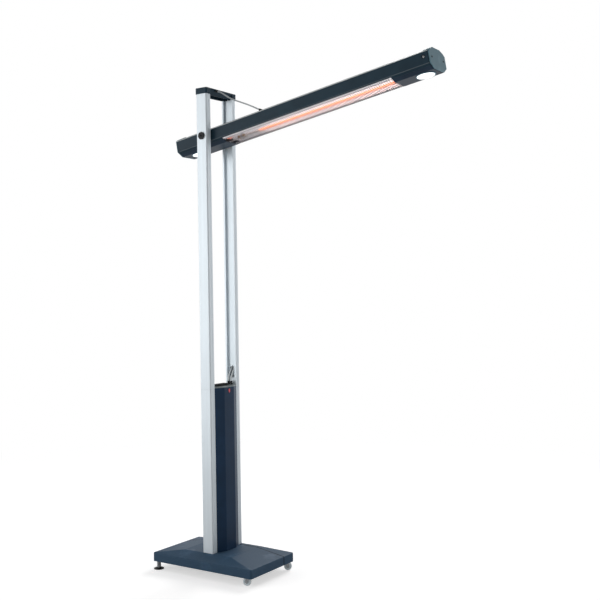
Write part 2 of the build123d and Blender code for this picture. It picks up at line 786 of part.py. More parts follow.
plate_face_x = control_plate_thickness / 2
blocks = {
    # name: (bottom z, height, width, depth) of what is screwed to the plate
    "control_board": (560.0, 180.0, 100.0, 22.0),
    "power_relay": (430.0, 90.0, 80.0, 36.0),
    "led_driver": (290.0, 110.0, 60.0, 30.0),
    "mains_terminals": (200.0, 40.0, 70.0, 18.0),
}
for name, (low_z, height, width, depth) in blocks.items():
    with BuildPart() as block:
        with BuildSketch(Plane(origin=(plate_face_x, 0, low_z + height / 2), x_dir=(0, 1, 0),
                               z_dir=(1, 0, 0))):
            Rectangle(width, height)
        extrude(amount=board_thickness)
        with BuildSketch(Plane(origin=(plate_face_x + board_thickness, 0, low_z + height / 2),
                               x_dir=(0, 1, 0), z_dir=(1, 0, 0))):
            with GridLocations(width / 2, height / 3, 2, 3):
                RectangleRounded(width * 0.4, height * 0.24, 2)
        extrude(amount=depth - board_thickness)
    write(block, name)


# ==== leads that stay still =====================================================================
def tube(points, radius, share=0.45):
    """A round lead along straight runs joined by tangent arcs; prints its tightest radius."""
    points = [Vector(*p) for p in points]
    radii = []
    for before, at, after in zip(points, points[1:], points[2:]):
        into, out = at - before, after - at
        turn = radians(into.get_angle(out))
        radii.append(share * min(into.length, out.length) * cos(turn / 2) / sin(turn / 2))
    with BuildPart() as lead:
        with BuildLine() as path:
            if radii:
                FilletPolyline(*points, radius=radii)
            else:
                Line(points[0], points[1])
        start = (points[1] - points[0]).normalized()
        with BuildSketch(Plane(origin=points[0], z_dir=start)):
            Circle(radius)
        sweep()
    length = sum(edge.length for edge in path.edges())
    tightest = min(radii) if radii else 0
    print(f"lead {length:.1f} mm long, tightest radius {tightest:.1f}, "
          f"volume over section x length {lead.part.volume / (3.14159265 * radius**2 * length):.4f}")
    return lead


riser_top_z = bridge_top_z - bridge_wall - 12.0
riser_low_z = box_top_z + gland_length
risers = []
for side in sides.values():
    gland_x = side * box_gland_spacing / 2
    pass_x = side * (pivot_bush_radius + riser_radius + riser_clearance)
    riser = tube(
        [
            (gland_x, box_gland_y, riser_low_z),
            (gland_x, box_gland_y, riser_low_z + 18),
            (gland_x, box_gland_y + 10, riser_low_z + 37),
            (gland_x, chamber_y - 1, riser_low_z + 66),
            (gland_x, chamber_y, riser_low_z + 110),
            (pass_x, chamber_y + 0.5, riser_low_z + 230),
            (pass_x, chamber_y, pivot_z + 55),
            (gland_x, chamber_y, pivot_z + 145),
            (gland_x, chamber_y, riser_top_z),
        ],
        riser_radius,
    )
    risers.append(riser.part)
with BuildPart() as riser_leads:
    add(risers)
write(riser_leads, "riser_leads")

with BuildPart() as junction_block:
    with BuildSketch(Plane.XY.offset(riser_top_z)):
        with Locations((0, chamber_y)):
            Rectangle(wire_way_width - 2, chamber_depth)
    extrude(amount=12.0 - bolt_fit)
write(junction_block, "junction_block")

# ==== arm housing ===============================================================================
arm_end_u = arm_reach - cap_thickness - cap_shadow
arm_tail_u = -(arm_tail - cap_thickness - cap_shadow)


def arm_section(inset=0.0):
    """Eight-sided outline of the arm, in the sketch that is open, set in by inset."""
    left = arm_corners(inset)
    Polygon(*left, *((-y, n) for y, n in reversed(left)), align=None)


def arm_corners(inset):
    """The four corners of one side of the arm, from the crest down, set in by inset."""
    points = [
        (0, arm_crest),
        (arm_crest_half, arm_crest),
        (arm_half_width, arm_wall_top),
        (arm_half_width, arm_wall_bottom),
        (arm_floor_half, arm_floor),
        (0, arm_floor),
    ]
    corners = []
    for before, at, after in zip(points, points[1:], points[2:]):
        into = Vector(at[0] - before[0], at[1] - before[1]).normalized()
        out = Vector(after[0] - at[0], after[1] - at[1]).normalized()
        half = radians(into.get_angle(out)) / 2
        inward = Vector(into.Y + out.Y, -into.X - out.X).normalized()
        corner = Vector(*at) + inward * (inset / cos(half))
        corners.append((corner.X, corner.Y))
    return corners


chamfer_run = Vector(arm_half_width - arm_floor_half, arm_wall_bottom - arm_floor).normalized()
chamfer_in = Vector(-chamfer_run.Y, chamfer_run.X)


def on_chamfer(along, depth):
    """(y, n) of a point on the left chamfer: along it from the lip's edge, and depth inside it."""
    point = Vector(lip_half, lip_level) + chamfer_run * along + chamfer_in * depth
    return point.X, point.Y


with BuildPart() as arm_housing:
    with BuildSketch(across_arm(arm_tail_u)) as profile:
        arm_section()
        fillet(profile.vertices(), arm_corner)
    extrude(amount=arm_end_u - arm_tail_u)
    with BuildSketch(across_arm(arm_tail_u)):
        arm_section(arm_sheet)
    extrude(amount=arm_end_u - arm_tail_u, mode=Mode.SUBTRACT)
    with BuildSketch(across_arm(arm_tail_u)):
        with Locations((0, lip_level + arm_floor)):
            Rectangle(4 * arm_half_width, -2 * arm_floor, mode=Mode.ADD)
        for side in sides.values():
            groove_y = side * (arm_half_width - groove_along)
            groove_n = arm_wall_bottom - groove_along * chamfer_run.Y / chamfer_run.X
            with Locations((groove_y, groove_n)):
                Circle(profile_groove / 2)
    extrude(amount=arm_end_u - arm_tail_u, mode=Mode.SUBTRACT)
    for side in sides.values():
        with BuildSketch(beside_arm(side * (arm_half_width - arm_sheet))):
            Circle(pivot_bolt_radius + bolt_fit)
            with Locations((arm_reach - side_screw_u, -side_screw_n)):
                Circle(side_hole_radius)
        extrude(amount=side * arm_sheet, mode=Mode.SUBTRACT)
    with BuildSketch(over_arm(arm_gland_u, arm_crest)):
        Circle(lead_radius + 1)
    extrude(amount=-arm_sheet, mode=Mode.SUBTRACT)
write(arm_housing, "arm_housing")


def floor_cover(low_u, high_u, led_u):
    """A folded cover that closes the underside at one end of the arm, with a hole for its spot."""
    with BuildPart() as cover:
        with BuildSketch(across_arm(low_u)):
            with BuildLine():
                Polyline(
                    (-lip_half, lip_level - cover_joint),
                    (-arm_floor_half, arm_floor),
                    (arm_floor_half, arm_floor),
                    (lip_half, lip_level - cover_joint),
                    (lip_half - 2 * cover_sheet, lip_level - cover_joint),
                    (arm_floor_half - cover_sheet / 2, arm_floor + cover_sheet),
                    (-arm_floor_half + cover_sheet / 2, arm_floor + cover_sheet),
                    (-lip_half + 2 * cover_sheet, lip_level - cover_joint),
                    close=True,
                )
            make_face()
        extrude(amount=high_u - low_u)
        with BuildSketch(over_arm(led_u, arm_floor)):
            Circle(led_radius)
        extrude(amount=cover_sheet, mode=Mode.SUBTRACT)
    return cover


arm_cover_inner = floor_cover(arm_tail_u, grille_start, led_inner_u)
write(arm_cover_inner, "arm_cover_inner")
arm_cover_outer = floor_cover(grille_end, arm_end_u, led_outer_u)
write(arm_cover_outer, "arm_cover_outer")


def roof_level(y):
    """Height of the arm's sloping shoulder at a distance y from its middle."""
    shoulder = (arm_crest - arm_wall_top) / (arm_half_width - arm_crest_half)
    return arm_crest - (y - arm_crest_half) * shoulder


def visor_section(gap):
    """Section of a cap's visor, in the sketch that is open, at a gap above the arm's top."""
    Polygon(
        (-visor_half, roof_level(visor_half) + gap),
        (-arm_crest_half, arm_crest + gap),
        (arm_crest_half, arm_crest + gap),
        (visor_half, roof_level(visor_half) + gap),
        (visor_half, roof_level(visor_half) + visor_height),
        (arm_crest_half, arm_crest + visor_height),
        (-arm_crest_half, arm_crest + visor_height),
        (-visor_half, roof_level(visor_half) + visor_height),
        align=None,
    )


def end_cap(end):
    """End plate with its plug into the arm and the visor over its top; end is -1 or 1."""
    face_u = arm_end_u if end > 0 else arm_tail_u
    with BuildPart() as cap:
        with BuildSketch(across_arm(face_u + end * cap_shadow)):
            arm_section()
            visor_section(0)
        extrude(amount=end * cap_thickness)
        outer = cap.faces().sort_by(Axis(tuple(pivot), tuple(along_arm)))[-1 if end > 0 else 0]
        chamfer(outer.edges(), cap_inset)
        with BuildSketch(across_arm(face_u + end * cap_shadow)):
            arm_section(arm_sheet + cover_sheet + led_fit)
        extrude(amount=-end * (cap_shadow + cap_plug_length))
        with BuildSketch(across_arm(face_u + end * cap_shadow)):
            visor_section(seat_gap)
        extrude(amount=-end * visor_length)
        for side in sides.values():
            with BuildSketch(across_arm(face_u + end * (cap_shadow + cap_thickness))):
                with Locations((side * cap_screw_y, cap_screw_n)):
                    Circle(screw_radius)
            extrude(amount=-end * cap_thickness, mode=Mode.SUBTRACT)
    return cap


arm_cap_inner = end_cap(-1)
write(arm_cap_inner, "arm_cap_inner")
arm_cap_outer = end_cap(1)
write(arm_cap_outer, "arm_cap_outer")

with BuildPart() as arm_screws:
    for end, face_u in ((1, arm_reach), (-1, -arm_tail)):
        for side in sides.values():
            with BuildSketch(across_arm(face_u)):
                with Locations((side * cap_screw_y, cap_screw_n)):
                    Circle(screw_radius)
            extrude(amount=-end * cap_thickness)
    for side in sides.values():
        inner_y = side * (arm_half_width - arm_sheet)
        with BuildSketch(beside_arm(inner_y - side * arm_sheet, arm_reach - side_screw_u, side_screw_n)):
            Circle(side_screw_head)
            RegularPolygon(side_screw_head / 2, 6, mode=Mode.SUBTRACT)
        extrude(amount=side * arm_sheet)
        with BuildSketch(beside_arm(inner_y - side * arm_sheet, arm_reach - side_screw_u, side_screw_n)):
            Circle(side_hole_radius + 2)
        extrude(amount=-side * arm_sheet / 2)
        with BuildSketch(beside_arm(inner_y, arm_reach - side_screw_u, side_screw_n)):
            Circle(side_hole_radius + 2)
            Circle(side_hole_radius, mode=Mode.SUBTRACT)
        extrude(amount=-side * arm_sheet)
write(arm_screws, "arm_screws")

# ==== reflector, lamp and grille ===================================================================
with BuildPart() as reflector:
    with BuildSketch(across_arm(grille_start + cover_joint)):
        with BuildLine():
            rim = reflector_level + reflector_sheet
            inner_half = reflector_half - 2 * reflector_sheet
            ThreePointArc((-reflector_half, rim), (0, reflector_crown), (reflector_half, rim))
            Polyline(
                (reflector_half, rim),
                (reflector_flange, rim),
                (reflector_flange, reflector_level),
                (inner_half, reflector_level),
            )
            ThreePointArc((inner_half, reflector_level), (0, reflector_crown - reflector_sheet),
                          (-inner_half, reflector_level))
            Polyline(
                (-inner_half, reflector_level),
                (-reflector_flange, reflector_level),
                (-reflector_flange, rim),
                (-reflector_half, rim),
            )
        make_face()
    extrude(amount=grille_end - grille_start - 2 * cover_joint)
write(reflector, "reflector")

with BuildPart() as reflector_ends:
    for end, mouth_u in ((-1, grille_start), (1, grille_end)):
        with BuildSketch(beside_arm(-reflector_half, 0, 0)):
            low_n = reflector_level
            foot_u = mouth_u - end * cover_joint
            top_u = mouth_u - end * (cover_joint + reflector_end_lean)
            step = -end * 1.5 * reflector_sheet
            with BuildLine():
                Polyline(
                    (foot_u, -low_n),
                    (top_u, -reflector_crown),
                    (top_u + step, -reflector_crown),
                    (foot_u + step, -low_n),
                    close=True,
                )
            make_face()
        extrude(amount=2 * reflector_half)
    with BuildSketch(across_arm(grille_start)):
        with BuildLine():
            edge = reflector_half - 3 * reflector_sheet
            ThreePointArc((-edge, reflector_level), (0, reflector_crown - 1.3 * reflector_sheet),
                          (edge, reflector_level))
            Line((edge, reflector_level), (-edge, reflector_level))
        make_face()
        with Locations((0, lamp_level)):
            Circle(lamp_radius + 1.5, mode=Mode.SUBTRACT)
    extrude(amount=grille_end - grille_start, mode=Mode.INTERSECT)
write(reflector_ends, "reflector_ends")

with BuildPart() as lamp_tube:
    with BuildSketch(across_arm(lamp_start)):
        with Locations((0, lamp_level)):
            Circle(lamp_radius)
            Circle(lamp_radius - lamp_wall, mode=Mode.SUBTRACT)
    extrude(amount=lamp_end - lamp_start)
write(lamp_tube, "lamp_tube")

with BuildPart() as lamp_filament:
    with BuildSketch(across_arm(filament_start)):
        with Locations((0, lamp_level)):
            Circle(filament_radius)
    extrude(amount=filament_end - filament_start)
    for low_u, high_u in ((lamp_start, filament_start), (filament_end, lamp_end)):
        with BuildSketch(across_arm(low_u)):
            with Locations((0, lamp_level)):
                Circle(filament_radius / 3)
        extrude(amount=high_u - low_u)
write(lamp_filament, "lamp_filament")

with BuildPart() as lamp_bases:
    for end, tip_u in ((-1, lamp_start), (1, lamp_end)):
        with BuildSketch(across_arm(tip_u)):
            with Locations((0, lamp_level)):
                RectangleRounded(lamp_base_width, lamp_base_height, 2)
        extrude(amount=end * lamp_base_length)
write(lamp_bases, "lamp_bases")

with BuildPart() as lamp_clips:
    for end, tip_u in ((-1, lamp_start), (1, lamp_end)):
        mid_u = tip_u + end * lamp_base_length / 2
        roof_n = reflector_crown - reflector_sheet if end < 0 else arm_crest - arm_sheet
        with BuildSketch(across_arm(mid_u - clip_width / 2)):
            with Locations((0, lamp_level)):
                Rectangle(lamp_base_width + 2 * clip_sheet, lamp_base_height + 2 * clip_sheet)
                Rectangle(lamp_base_width, lamp_base_height, mode=Mode.SUBTRACT)
            stem_low = lamp_level + lamp_base_height / 2 + clip_sheet
            stem_high = roof_n - seat_gap
            with Locations((0, (stem_low + stem_high) / 2)):
                Rectangle(clip_width, stem_high - stem_low)
        extrude(amount=clip_width)
write(lamp_clips, "lamp_clips")

wire_floor = arm_floor + wire_radius
wire_end_y, wire_end_n = on_chamfer(wire_along, wire_radius)
wire_turn_y = arm_floor_half - wire_radius * chamfer_run.Y
rail_rise = 2 * wire_radius - weld_sink
rail_y, rail_n = on_chamfer(wire_along - rail_setback, wire_radius + rail_rise)
wire_count = int((grille_end - grille_start) / wire_pitch)
first_wire_u = (grille_start + grille_end - (wire_count - 1) * wire_pitch) / 2
with BuildPart() as bent_wire:
    with BuildLine(across_arm(first_wire_u)):
        FilletPolyline(
            (-wire_end_y, wire_end_n),
            (-wire_turn_y, wire_floor),
            (wire_turn_y, wire_floor),
            (wire_end_y, wire_end_n),
            radius=wire_corner,
        )
    wire_foot = arm_point(first_wire_u, -wire_end_y, wire_end_n)
    wire_heading = arm_point(first_wire_u, -wire_turn_y, wire_floor) - wire_foot
    with BuildSketch(Plane(origin=wire_foot, z_dir=wire_heading.normalized())):
        Circle(wire_radius)
    sweep()
wires = [Pos(*(along_arm * (wire_pitch * i))) * bent_wire.part for i in range(wire_count)]
with BuildPart() as wire_grille:
    with BuildSketch(across_arm(grille_start + cover_joint)):
        with Locations((-rail_offset, wire_floor + rail_rise), (rail_offset, wire_floor + rail_rise),
                       (-rail_y, rail_n), (rail_y, rail_n)):
            Circle(wire_radius)
    extrude(amount=grille_end - grille_start - 2 * cover_joint)
    add(wires)
write(wire_grille, "wire_grille")

# ==== spots ========================================================================================
with BuildPart() as led_bezels:
    for led_u in (led_inner_u, led_outer_u):
        with BuildSketch(over_arm(led_u, arm_floor)):
            Circle(led_radius + led_bezel_width)
            Circle(led_radius - led_bezel_width / 2, mode=Mode.SUBTRACT)
        extrude(amount=-led_bezel_height)
write(led_bezels, "led_bezels")

lens_radius = led_radius - led_bezel_width / 2 - led_fit
with BuildPart() as led_lenses:
    for led_u in (led_inner_u, led_outer_u):
        with BuildSketch(over_arm(led_u, arm_floor - led_bezel_height)):
            Circle(lens_radius)
        with BuildSketch(over_arm(led_u, arm_floor - led_dome)):
            Circle(lens_radius * 0.86)
        loft()
        with BuildSketch(over_arm(led_u, arm_floor - led_bezel_height)):
            Circle(lens_radius)
        extrude(amount=led_bezel_height + led_lens_sheet)
write(led_lenses, "led_lenses")

with BuildPart() as led_boards:
    for led_u in (led_inner_u, led_outer_u):
        with BuildSketch(over_arm(led_u, arm_floor + led_lens_sheet)):
            Circle(led_radius - led_fit)
        extrude(amount=led_board_thickness)
        with BuildSketch(over_arm(led_u, arm_floor + led_lens_sheet + led_board_thickness)):
            Rectangle(led_radius, 1.4 * led_radius)
        extrude(amount=led_sink_height)
write(led_boards, "led_boards")

# ==== pivot =========================================================================================
with BuildPart() as pivot_bushes:
    for side in sides.values():
        with BuildSketch(Plane(origin=(0, side * mast_inner_y, pivot_z), x_dir=(1, 0, 0),
                               z_dir=(0, side, 0))):
            Rectangle(channel_width - 2 * pivot_block_fit, pivot_block_height)
        extrude(amount=channel_depth)
        with BuildSketch(Plane(origin=(0, side * web_y, pivot_z), x_dir=(1, 0, 0), z_dir=(0, side, 0))):
            Circle(pivot_bush_radius)
        extrude(amount=mast_depth - channel_depth)
        with BuildSketch(Plane(origin=(0, side * mast_inner_y, pivot_z), x_dir=(1, 0, 0),
                               z_dir=(0, side, 0))):
            Circle(pivot_bolt_radius + pivot_running_fit)
        extrude(amount=mast_depth, mode=Mode.SUBTRACT)
write(pivot_bushes, "pivot_bushes")

plate_y = arm_half_width - arm_sheet
with BuildPart() as pivot_plates:
    for side in sides.values():
        with BuildSketch(beside_arm(side * plate_y)):
            RectangleRounded(pivot_plate_length, pivot_plate_height, 6)
        extrude(amount=-side * pivot_plate_thickness)
        with BuildSketch(beside_arm(side * (plate_y - pivot_plate_thickness))):
            RegularPolygon(pivot_nut_radius, 6)
        extrude(amount=-side * pivot_nut_height)
        with BuildSketch(beside_arm(side * plate_y)):
            Circle(pivot_bolt_radius)
        extrude(amount=-side * (pivot_plate_thickness + pivot_nut_height), mode=Mode.SUBTRACT)
write(pivot_plates, "pivot_plates")

with BuildPart() as pivot_bolts:
    for side in sides.values():
        shank_end = plate_y - pivot_plate_thickness - pivot_nut_height
        head_y = mast_outer_y + pivot_head_gap
        with BuildSketch(beside_arm(side * shank_end)):
            Circle(pivot_bolt_radius)
        extrude(amount=side * (head_y - shank_end))
        with BuildSketch(beside_arm(side * head_y)):
            Circle(pivot_head_radius)
        extrude(amount=side * pivot_head_height)
        face_y = side * (head_y + pivot_head_height)
        with BuildSketch(beside_arm(face_y)):
            Circle(pivot_ring_radius)
            Circle(pivot_ring_radius * 0.62, mode=Mode.SUBTRACT)
        extrude(amount=-side * pivot_head_height / 3, mode=Mode.SUBTRACT)
        with BuildSketch(beside_arm(face_y)):
            RegularPolygon(pivot_socket, 6)
        extrude(amount=-side * pivot_head_height * 0.7, mode=Mode.SUBTRACT)
write(pivot_bolts, "pivot_bolts")

with BuildPart() as pivot_discs:
    for side in sides.values():
        with BuildSketch(beside_arm(side * arm_half_width)):
            Circle(pivot_disc_radius)
            Circle(pivot_bolt_radius + bolt_fit, mode=Mode.SUBTRACT)
        extrude(amount=side * (mast_inner_y - arm_half_width - pivot_head_gap))
write(pivot_discs, "pivot_discs")

# ==== the lead from the bridge to the arm ============================================================
arm_gland_foot = arm_point(arm_gland_u, 0, arm_crest + arm_gland_height - 1)
arm_gland_dir = (Vector(*lead_route[-1]) - arm_gland_foot).normalized()
arm_gland_tip = arm_gland_foot + arm_gland_dir * arm_gland_length
arm_lead = tube(lead_route + [tuple(arm_gland_tip)], lead_radius)
write(arm_lead, "arm_lead")

with BuildPart() as arm_gland:
    with BuildSketch(over_arm(arm_gland_u, arm_crest)):
        Circle(arm_gland_boss)
    extrude(amount=arm_gland_height)
    fillet(arm_gland.edges().group_by(Axis(tuple(pivot), tuple(up_from_arm)))[-1], arm_gland_boss / 2)
    with BuildSketch(Plane(origin=arm_gland_foot, z_dir=arm_gland_dir)):
        Circle(gland_body_radius)
    with BuildSketch(Plane(origin=arm_gland_tip, z_dir=arm_gland_dir)):
        Circle(lead_radius + 1)
    loft()
write(arm_gland, "arm_gland")
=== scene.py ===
"""Looks of the infrared patio heater tower: finishes, fine pieces, the arm's lead, light, camera."""

import json
import logging
import math
from collections.abc import Callable, Iterator, Sequence
from contextlib import contextmanager
from dataclasses import dataclass
from enum import Enum

import bmesh
import bpy
from mathutils import Matrix, Vector
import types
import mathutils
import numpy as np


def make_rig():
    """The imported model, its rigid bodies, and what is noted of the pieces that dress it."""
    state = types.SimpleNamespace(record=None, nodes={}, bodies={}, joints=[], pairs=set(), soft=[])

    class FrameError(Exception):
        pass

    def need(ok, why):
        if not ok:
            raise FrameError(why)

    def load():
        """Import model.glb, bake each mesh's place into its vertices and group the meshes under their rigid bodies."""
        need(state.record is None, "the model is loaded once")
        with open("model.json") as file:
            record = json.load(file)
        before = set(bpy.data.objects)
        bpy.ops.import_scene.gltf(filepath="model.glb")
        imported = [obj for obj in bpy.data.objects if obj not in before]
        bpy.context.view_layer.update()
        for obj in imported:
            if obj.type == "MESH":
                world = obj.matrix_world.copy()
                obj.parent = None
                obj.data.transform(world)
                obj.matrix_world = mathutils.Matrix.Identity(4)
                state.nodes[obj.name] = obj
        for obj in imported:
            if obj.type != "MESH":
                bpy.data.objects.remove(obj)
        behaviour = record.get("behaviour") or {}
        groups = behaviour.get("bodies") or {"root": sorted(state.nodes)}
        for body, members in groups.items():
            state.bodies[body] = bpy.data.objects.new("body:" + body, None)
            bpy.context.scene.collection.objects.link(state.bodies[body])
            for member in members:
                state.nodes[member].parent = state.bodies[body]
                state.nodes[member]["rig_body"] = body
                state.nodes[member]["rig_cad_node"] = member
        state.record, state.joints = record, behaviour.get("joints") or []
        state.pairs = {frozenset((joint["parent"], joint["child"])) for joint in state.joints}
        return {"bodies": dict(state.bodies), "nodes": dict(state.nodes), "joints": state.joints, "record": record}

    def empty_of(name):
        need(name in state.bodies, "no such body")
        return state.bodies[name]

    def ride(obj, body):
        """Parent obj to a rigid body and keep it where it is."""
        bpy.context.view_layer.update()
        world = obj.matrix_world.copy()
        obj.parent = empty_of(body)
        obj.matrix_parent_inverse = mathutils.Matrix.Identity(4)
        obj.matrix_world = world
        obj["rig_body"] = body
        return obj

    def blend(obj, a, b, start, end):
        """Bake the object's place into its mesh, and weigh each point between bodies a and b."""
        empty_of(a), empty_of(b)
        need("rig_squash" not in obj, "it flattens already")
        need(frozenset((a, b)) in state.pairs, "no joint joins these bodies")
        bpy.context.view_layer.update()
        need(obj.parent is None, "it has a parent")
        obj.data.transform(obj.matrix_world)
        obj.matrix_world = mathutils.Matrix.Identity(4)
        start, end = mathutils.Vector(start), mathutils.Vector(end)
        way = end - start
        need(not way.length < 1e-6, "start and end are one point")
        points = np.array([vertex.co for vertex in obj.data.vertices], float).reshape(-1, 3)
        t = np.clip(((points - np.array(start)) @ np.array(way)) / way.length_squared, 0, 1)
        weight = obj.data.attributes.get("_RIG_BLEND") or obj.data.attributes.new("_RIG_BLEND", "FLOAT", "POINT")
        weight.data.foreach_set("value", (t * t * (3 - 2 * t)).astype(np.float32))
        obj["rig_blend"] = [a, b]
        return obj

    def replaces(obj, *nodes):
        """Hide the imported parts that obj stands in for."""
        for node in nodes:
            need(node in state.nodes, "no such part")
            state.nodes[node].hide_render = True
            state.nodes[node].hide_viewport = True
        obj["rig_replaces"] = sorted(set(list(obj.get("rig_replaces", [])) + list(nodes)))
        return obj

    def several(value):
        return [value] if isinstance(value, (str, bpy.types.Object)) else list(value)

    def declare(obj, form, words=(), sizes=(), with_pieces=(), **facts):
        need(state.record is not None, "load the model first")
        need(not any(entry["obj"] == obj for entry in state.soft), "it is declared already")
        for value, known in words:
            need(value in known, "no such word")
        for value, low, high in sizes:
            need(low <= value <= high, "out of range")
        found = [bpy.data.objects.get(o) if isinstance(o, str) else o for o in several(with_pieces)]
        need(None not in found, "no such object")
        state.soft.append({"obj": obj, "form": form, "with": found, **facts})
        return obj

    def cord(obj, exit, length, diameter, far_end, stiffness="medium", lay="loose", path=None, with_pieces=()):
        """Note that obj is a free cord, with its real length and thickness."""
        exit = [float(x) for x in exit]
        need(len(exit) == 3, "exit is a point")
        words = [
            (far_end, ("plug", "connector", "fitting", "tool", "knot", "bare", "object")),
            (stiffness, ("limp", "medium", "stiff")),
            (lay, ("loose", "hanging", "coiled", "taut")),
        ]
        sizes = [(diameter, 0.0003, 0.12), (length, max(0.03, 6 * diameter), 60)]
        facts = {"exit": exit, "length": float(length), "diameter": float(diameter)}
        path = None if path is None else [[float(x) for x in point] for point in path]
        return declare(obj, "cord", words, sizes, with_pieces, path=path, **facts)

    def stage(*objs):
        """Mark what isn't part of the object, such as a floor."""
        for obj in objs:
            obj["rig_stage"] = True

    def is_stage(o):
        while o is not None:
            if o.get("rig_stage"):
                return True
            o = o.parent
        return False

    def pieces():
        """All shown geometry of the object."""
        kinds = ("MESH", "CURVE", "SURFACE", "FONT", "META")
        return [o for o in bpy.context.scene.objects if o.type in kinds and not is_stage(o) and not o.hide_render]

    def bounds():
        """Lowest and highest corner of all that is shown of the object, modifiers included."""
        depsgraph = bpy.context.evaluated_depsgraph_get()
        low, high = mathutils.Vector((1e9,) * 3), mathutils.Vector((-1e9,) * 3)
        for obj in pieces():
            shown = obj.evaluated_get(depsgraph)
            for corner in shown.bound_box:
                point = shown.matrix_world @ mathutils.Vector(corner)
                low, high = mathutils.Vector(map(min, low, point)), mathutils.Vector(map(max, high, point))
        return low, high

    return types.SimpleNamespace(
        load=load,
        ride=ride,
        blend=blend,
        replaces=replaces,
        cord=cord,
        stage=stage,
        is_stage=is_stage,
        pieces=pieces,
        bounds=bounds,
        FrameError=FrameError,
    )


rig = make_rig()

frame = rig.load()
CAD_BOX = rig.bounds()

logging.basicConfig(level=logging.INFO, format="%(message)s")
log = logging.getLogger("heater")

Colour = tuple[float, float, float]
Point = tuple[float, float, float]
Pair = tuple[float, float]
Rings = tuple[tuple[float, ...], ...]

SIZE_FILE = "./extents.json"
MM = 0.001
TO_METRES = Matrix.Scale(MM, 4)
TO_MM = Matrix.Scale(1 / MM, 4)
MODEL = Matrix.Identity(4)
AHEAD = Vector((1, 0, 0))
LEFT = Vector((0, 1, 0))
UP = Vector((0, 0, 1))
PIVOT = Vector((0.0, 0.0, 2.110))
ARM_TILT = math.radians(10.0)
ALONG_ARM = Vector((math.cos(ARM_TILT), 0, math.sin(ARM_TILT)))
UP_FROM_ARM = Vector((-math.sin(ARM_TILT), 0, math.cos(ARM_TILT)))
SMOOTH_ANGLE = math.radians(32.0)
SOFTENED_ANGLE = math.radians(28.0)
BLACK: Colour = (0.0, 0.0, 0.0)
WHITE: Colour = (1.0, 1.0, 1.0)

# The arm's profile, in millimetres: reach and tail along it, corners as (across, above the pivot).
ARM_REACH = 1205.0
ARM_TAIL = 192.0
CREST: Pair = (36.0, 46.5)
SHOULDER: Pair = (79.0, 29.0)
WALL_FOOT: Pair = (79.0, -25.5)
LIP: Pair = (66.0, -34.0)
FLOOR: Pair = (46.0, -47.0)


def srgb(red: int, green: int, blue: int) -> Colour:
    """A screen colour, 0 to 255 each, as the linear colour that shaders take."""
    shares = (level / 255 for level in (red, green, blue))
    return tuple(s / 12.92 if s <= 0.04045 else ((s + 0.055) / 1.055) ** 2.4 for s in shares)


def tone(colour: Colour, share: float, lift: float = 0.0) -> Colour:
    """A colour with each part multiplied by a share and lifted, 1 at most."""
    return tuple(min(1.0, part * share + lift) for part in colour)


def frame_of(origin: Vector, axis: Vector, across: Vector = UP) -> Matrix:
    """A place with its own axes, to build a piece upright and then set it there.

    Args:
        origin: where the piece's own origin goes.
        axis: the direction that the piece's own Z takes.
        across: a direction that the piece's own X lies near.

    Returns:
        The matrix from the piece's own axes to the model's.
    """
    z = axis.normalized()
    y = z.cross(across)
    if y.length < 1e-4:
        y = z.cross(AHEAD)
    y.normalize()
    return axes_at(origin, y.cross(z), y, z)


def axes_at(origin: Vector, x: Vector, y: Vector, z: Vector) -> Matrix:
    """A place with these axes.

    Args:
        origin: where the piece's own origin goes.
        x: the direction that its own X takes.
        y: the direction that its own Y takes.
        z: the direction that its own Z takes.

    Returns:
        The matrix from the piece's own axes to the model's.
    """
    matrix = Matrix((x, y, z)).transposed().to_4x4()
    matrix.translation = origin
    return matrix


def on_arm(u: float, y: float, n: float) -> Vector:
    """The point u mm along the arm from its pivot, y mm to its left and n mm above it."""
    return PIVOT + (ALONG_ARM * u + LEFT * y + UP_FROM_ARM * n) * MM


# ---------------------------------------------------------------- shader sheets


class Signal:
    """A shader socket that can be used in arithmetic; each step adds its node."""

    def __init__(self, sheet: "Sheet", socket: bpy.types.NodeSocket) -> None:
        """Wraps one output socket of a sheet."""
        self.sheet = sheet
        self.socket = socket

    def __add__(self, other: "Signal | float") -> "Signal":
        """Sum."""
        return self.sheet.math("ADD", self, other)

    __radd__ = __add__

    def __sub__(self, other: "Signal | float") -> "Signal":
        """Difference."""
        return self.sheet.math("SUBTRACT", self, other)

    def __rsub__(self, other: float) -> "Signal":
        """Difference from a number."""
        return self.sheet.math("SUBTRACT", other, self)

    def __mul__(self, other: "Signal | float") -> "Signal":
        """Product."""
        return self.sheet.math("MULTIPLY", self, other)

    __rmul__ = __mul__

    def __abs__(self) -> "Signal":
        """Size without its sign."""
        return self.sheet.math("ABSOLUTE", self, 0.0)

    def within(self, low: float, high: float) -> "Signal":
        """0 below low, 1 above high and smooth between."""
        return self.sheet.add(
            "ShaderNodeMapRange", "Result", {"Value": self, "From Min": low, "From Max": high},
            interpolation_type="SMOOTHSTEP",
        )

    def band(self, low: float, high: float, edge: float) -> "Signal":
        """1 from low to high, and smooth down to 0 over an edge on either side."""
        return self.within(low - edge, low) * (1 - self.within(high, high + edge))


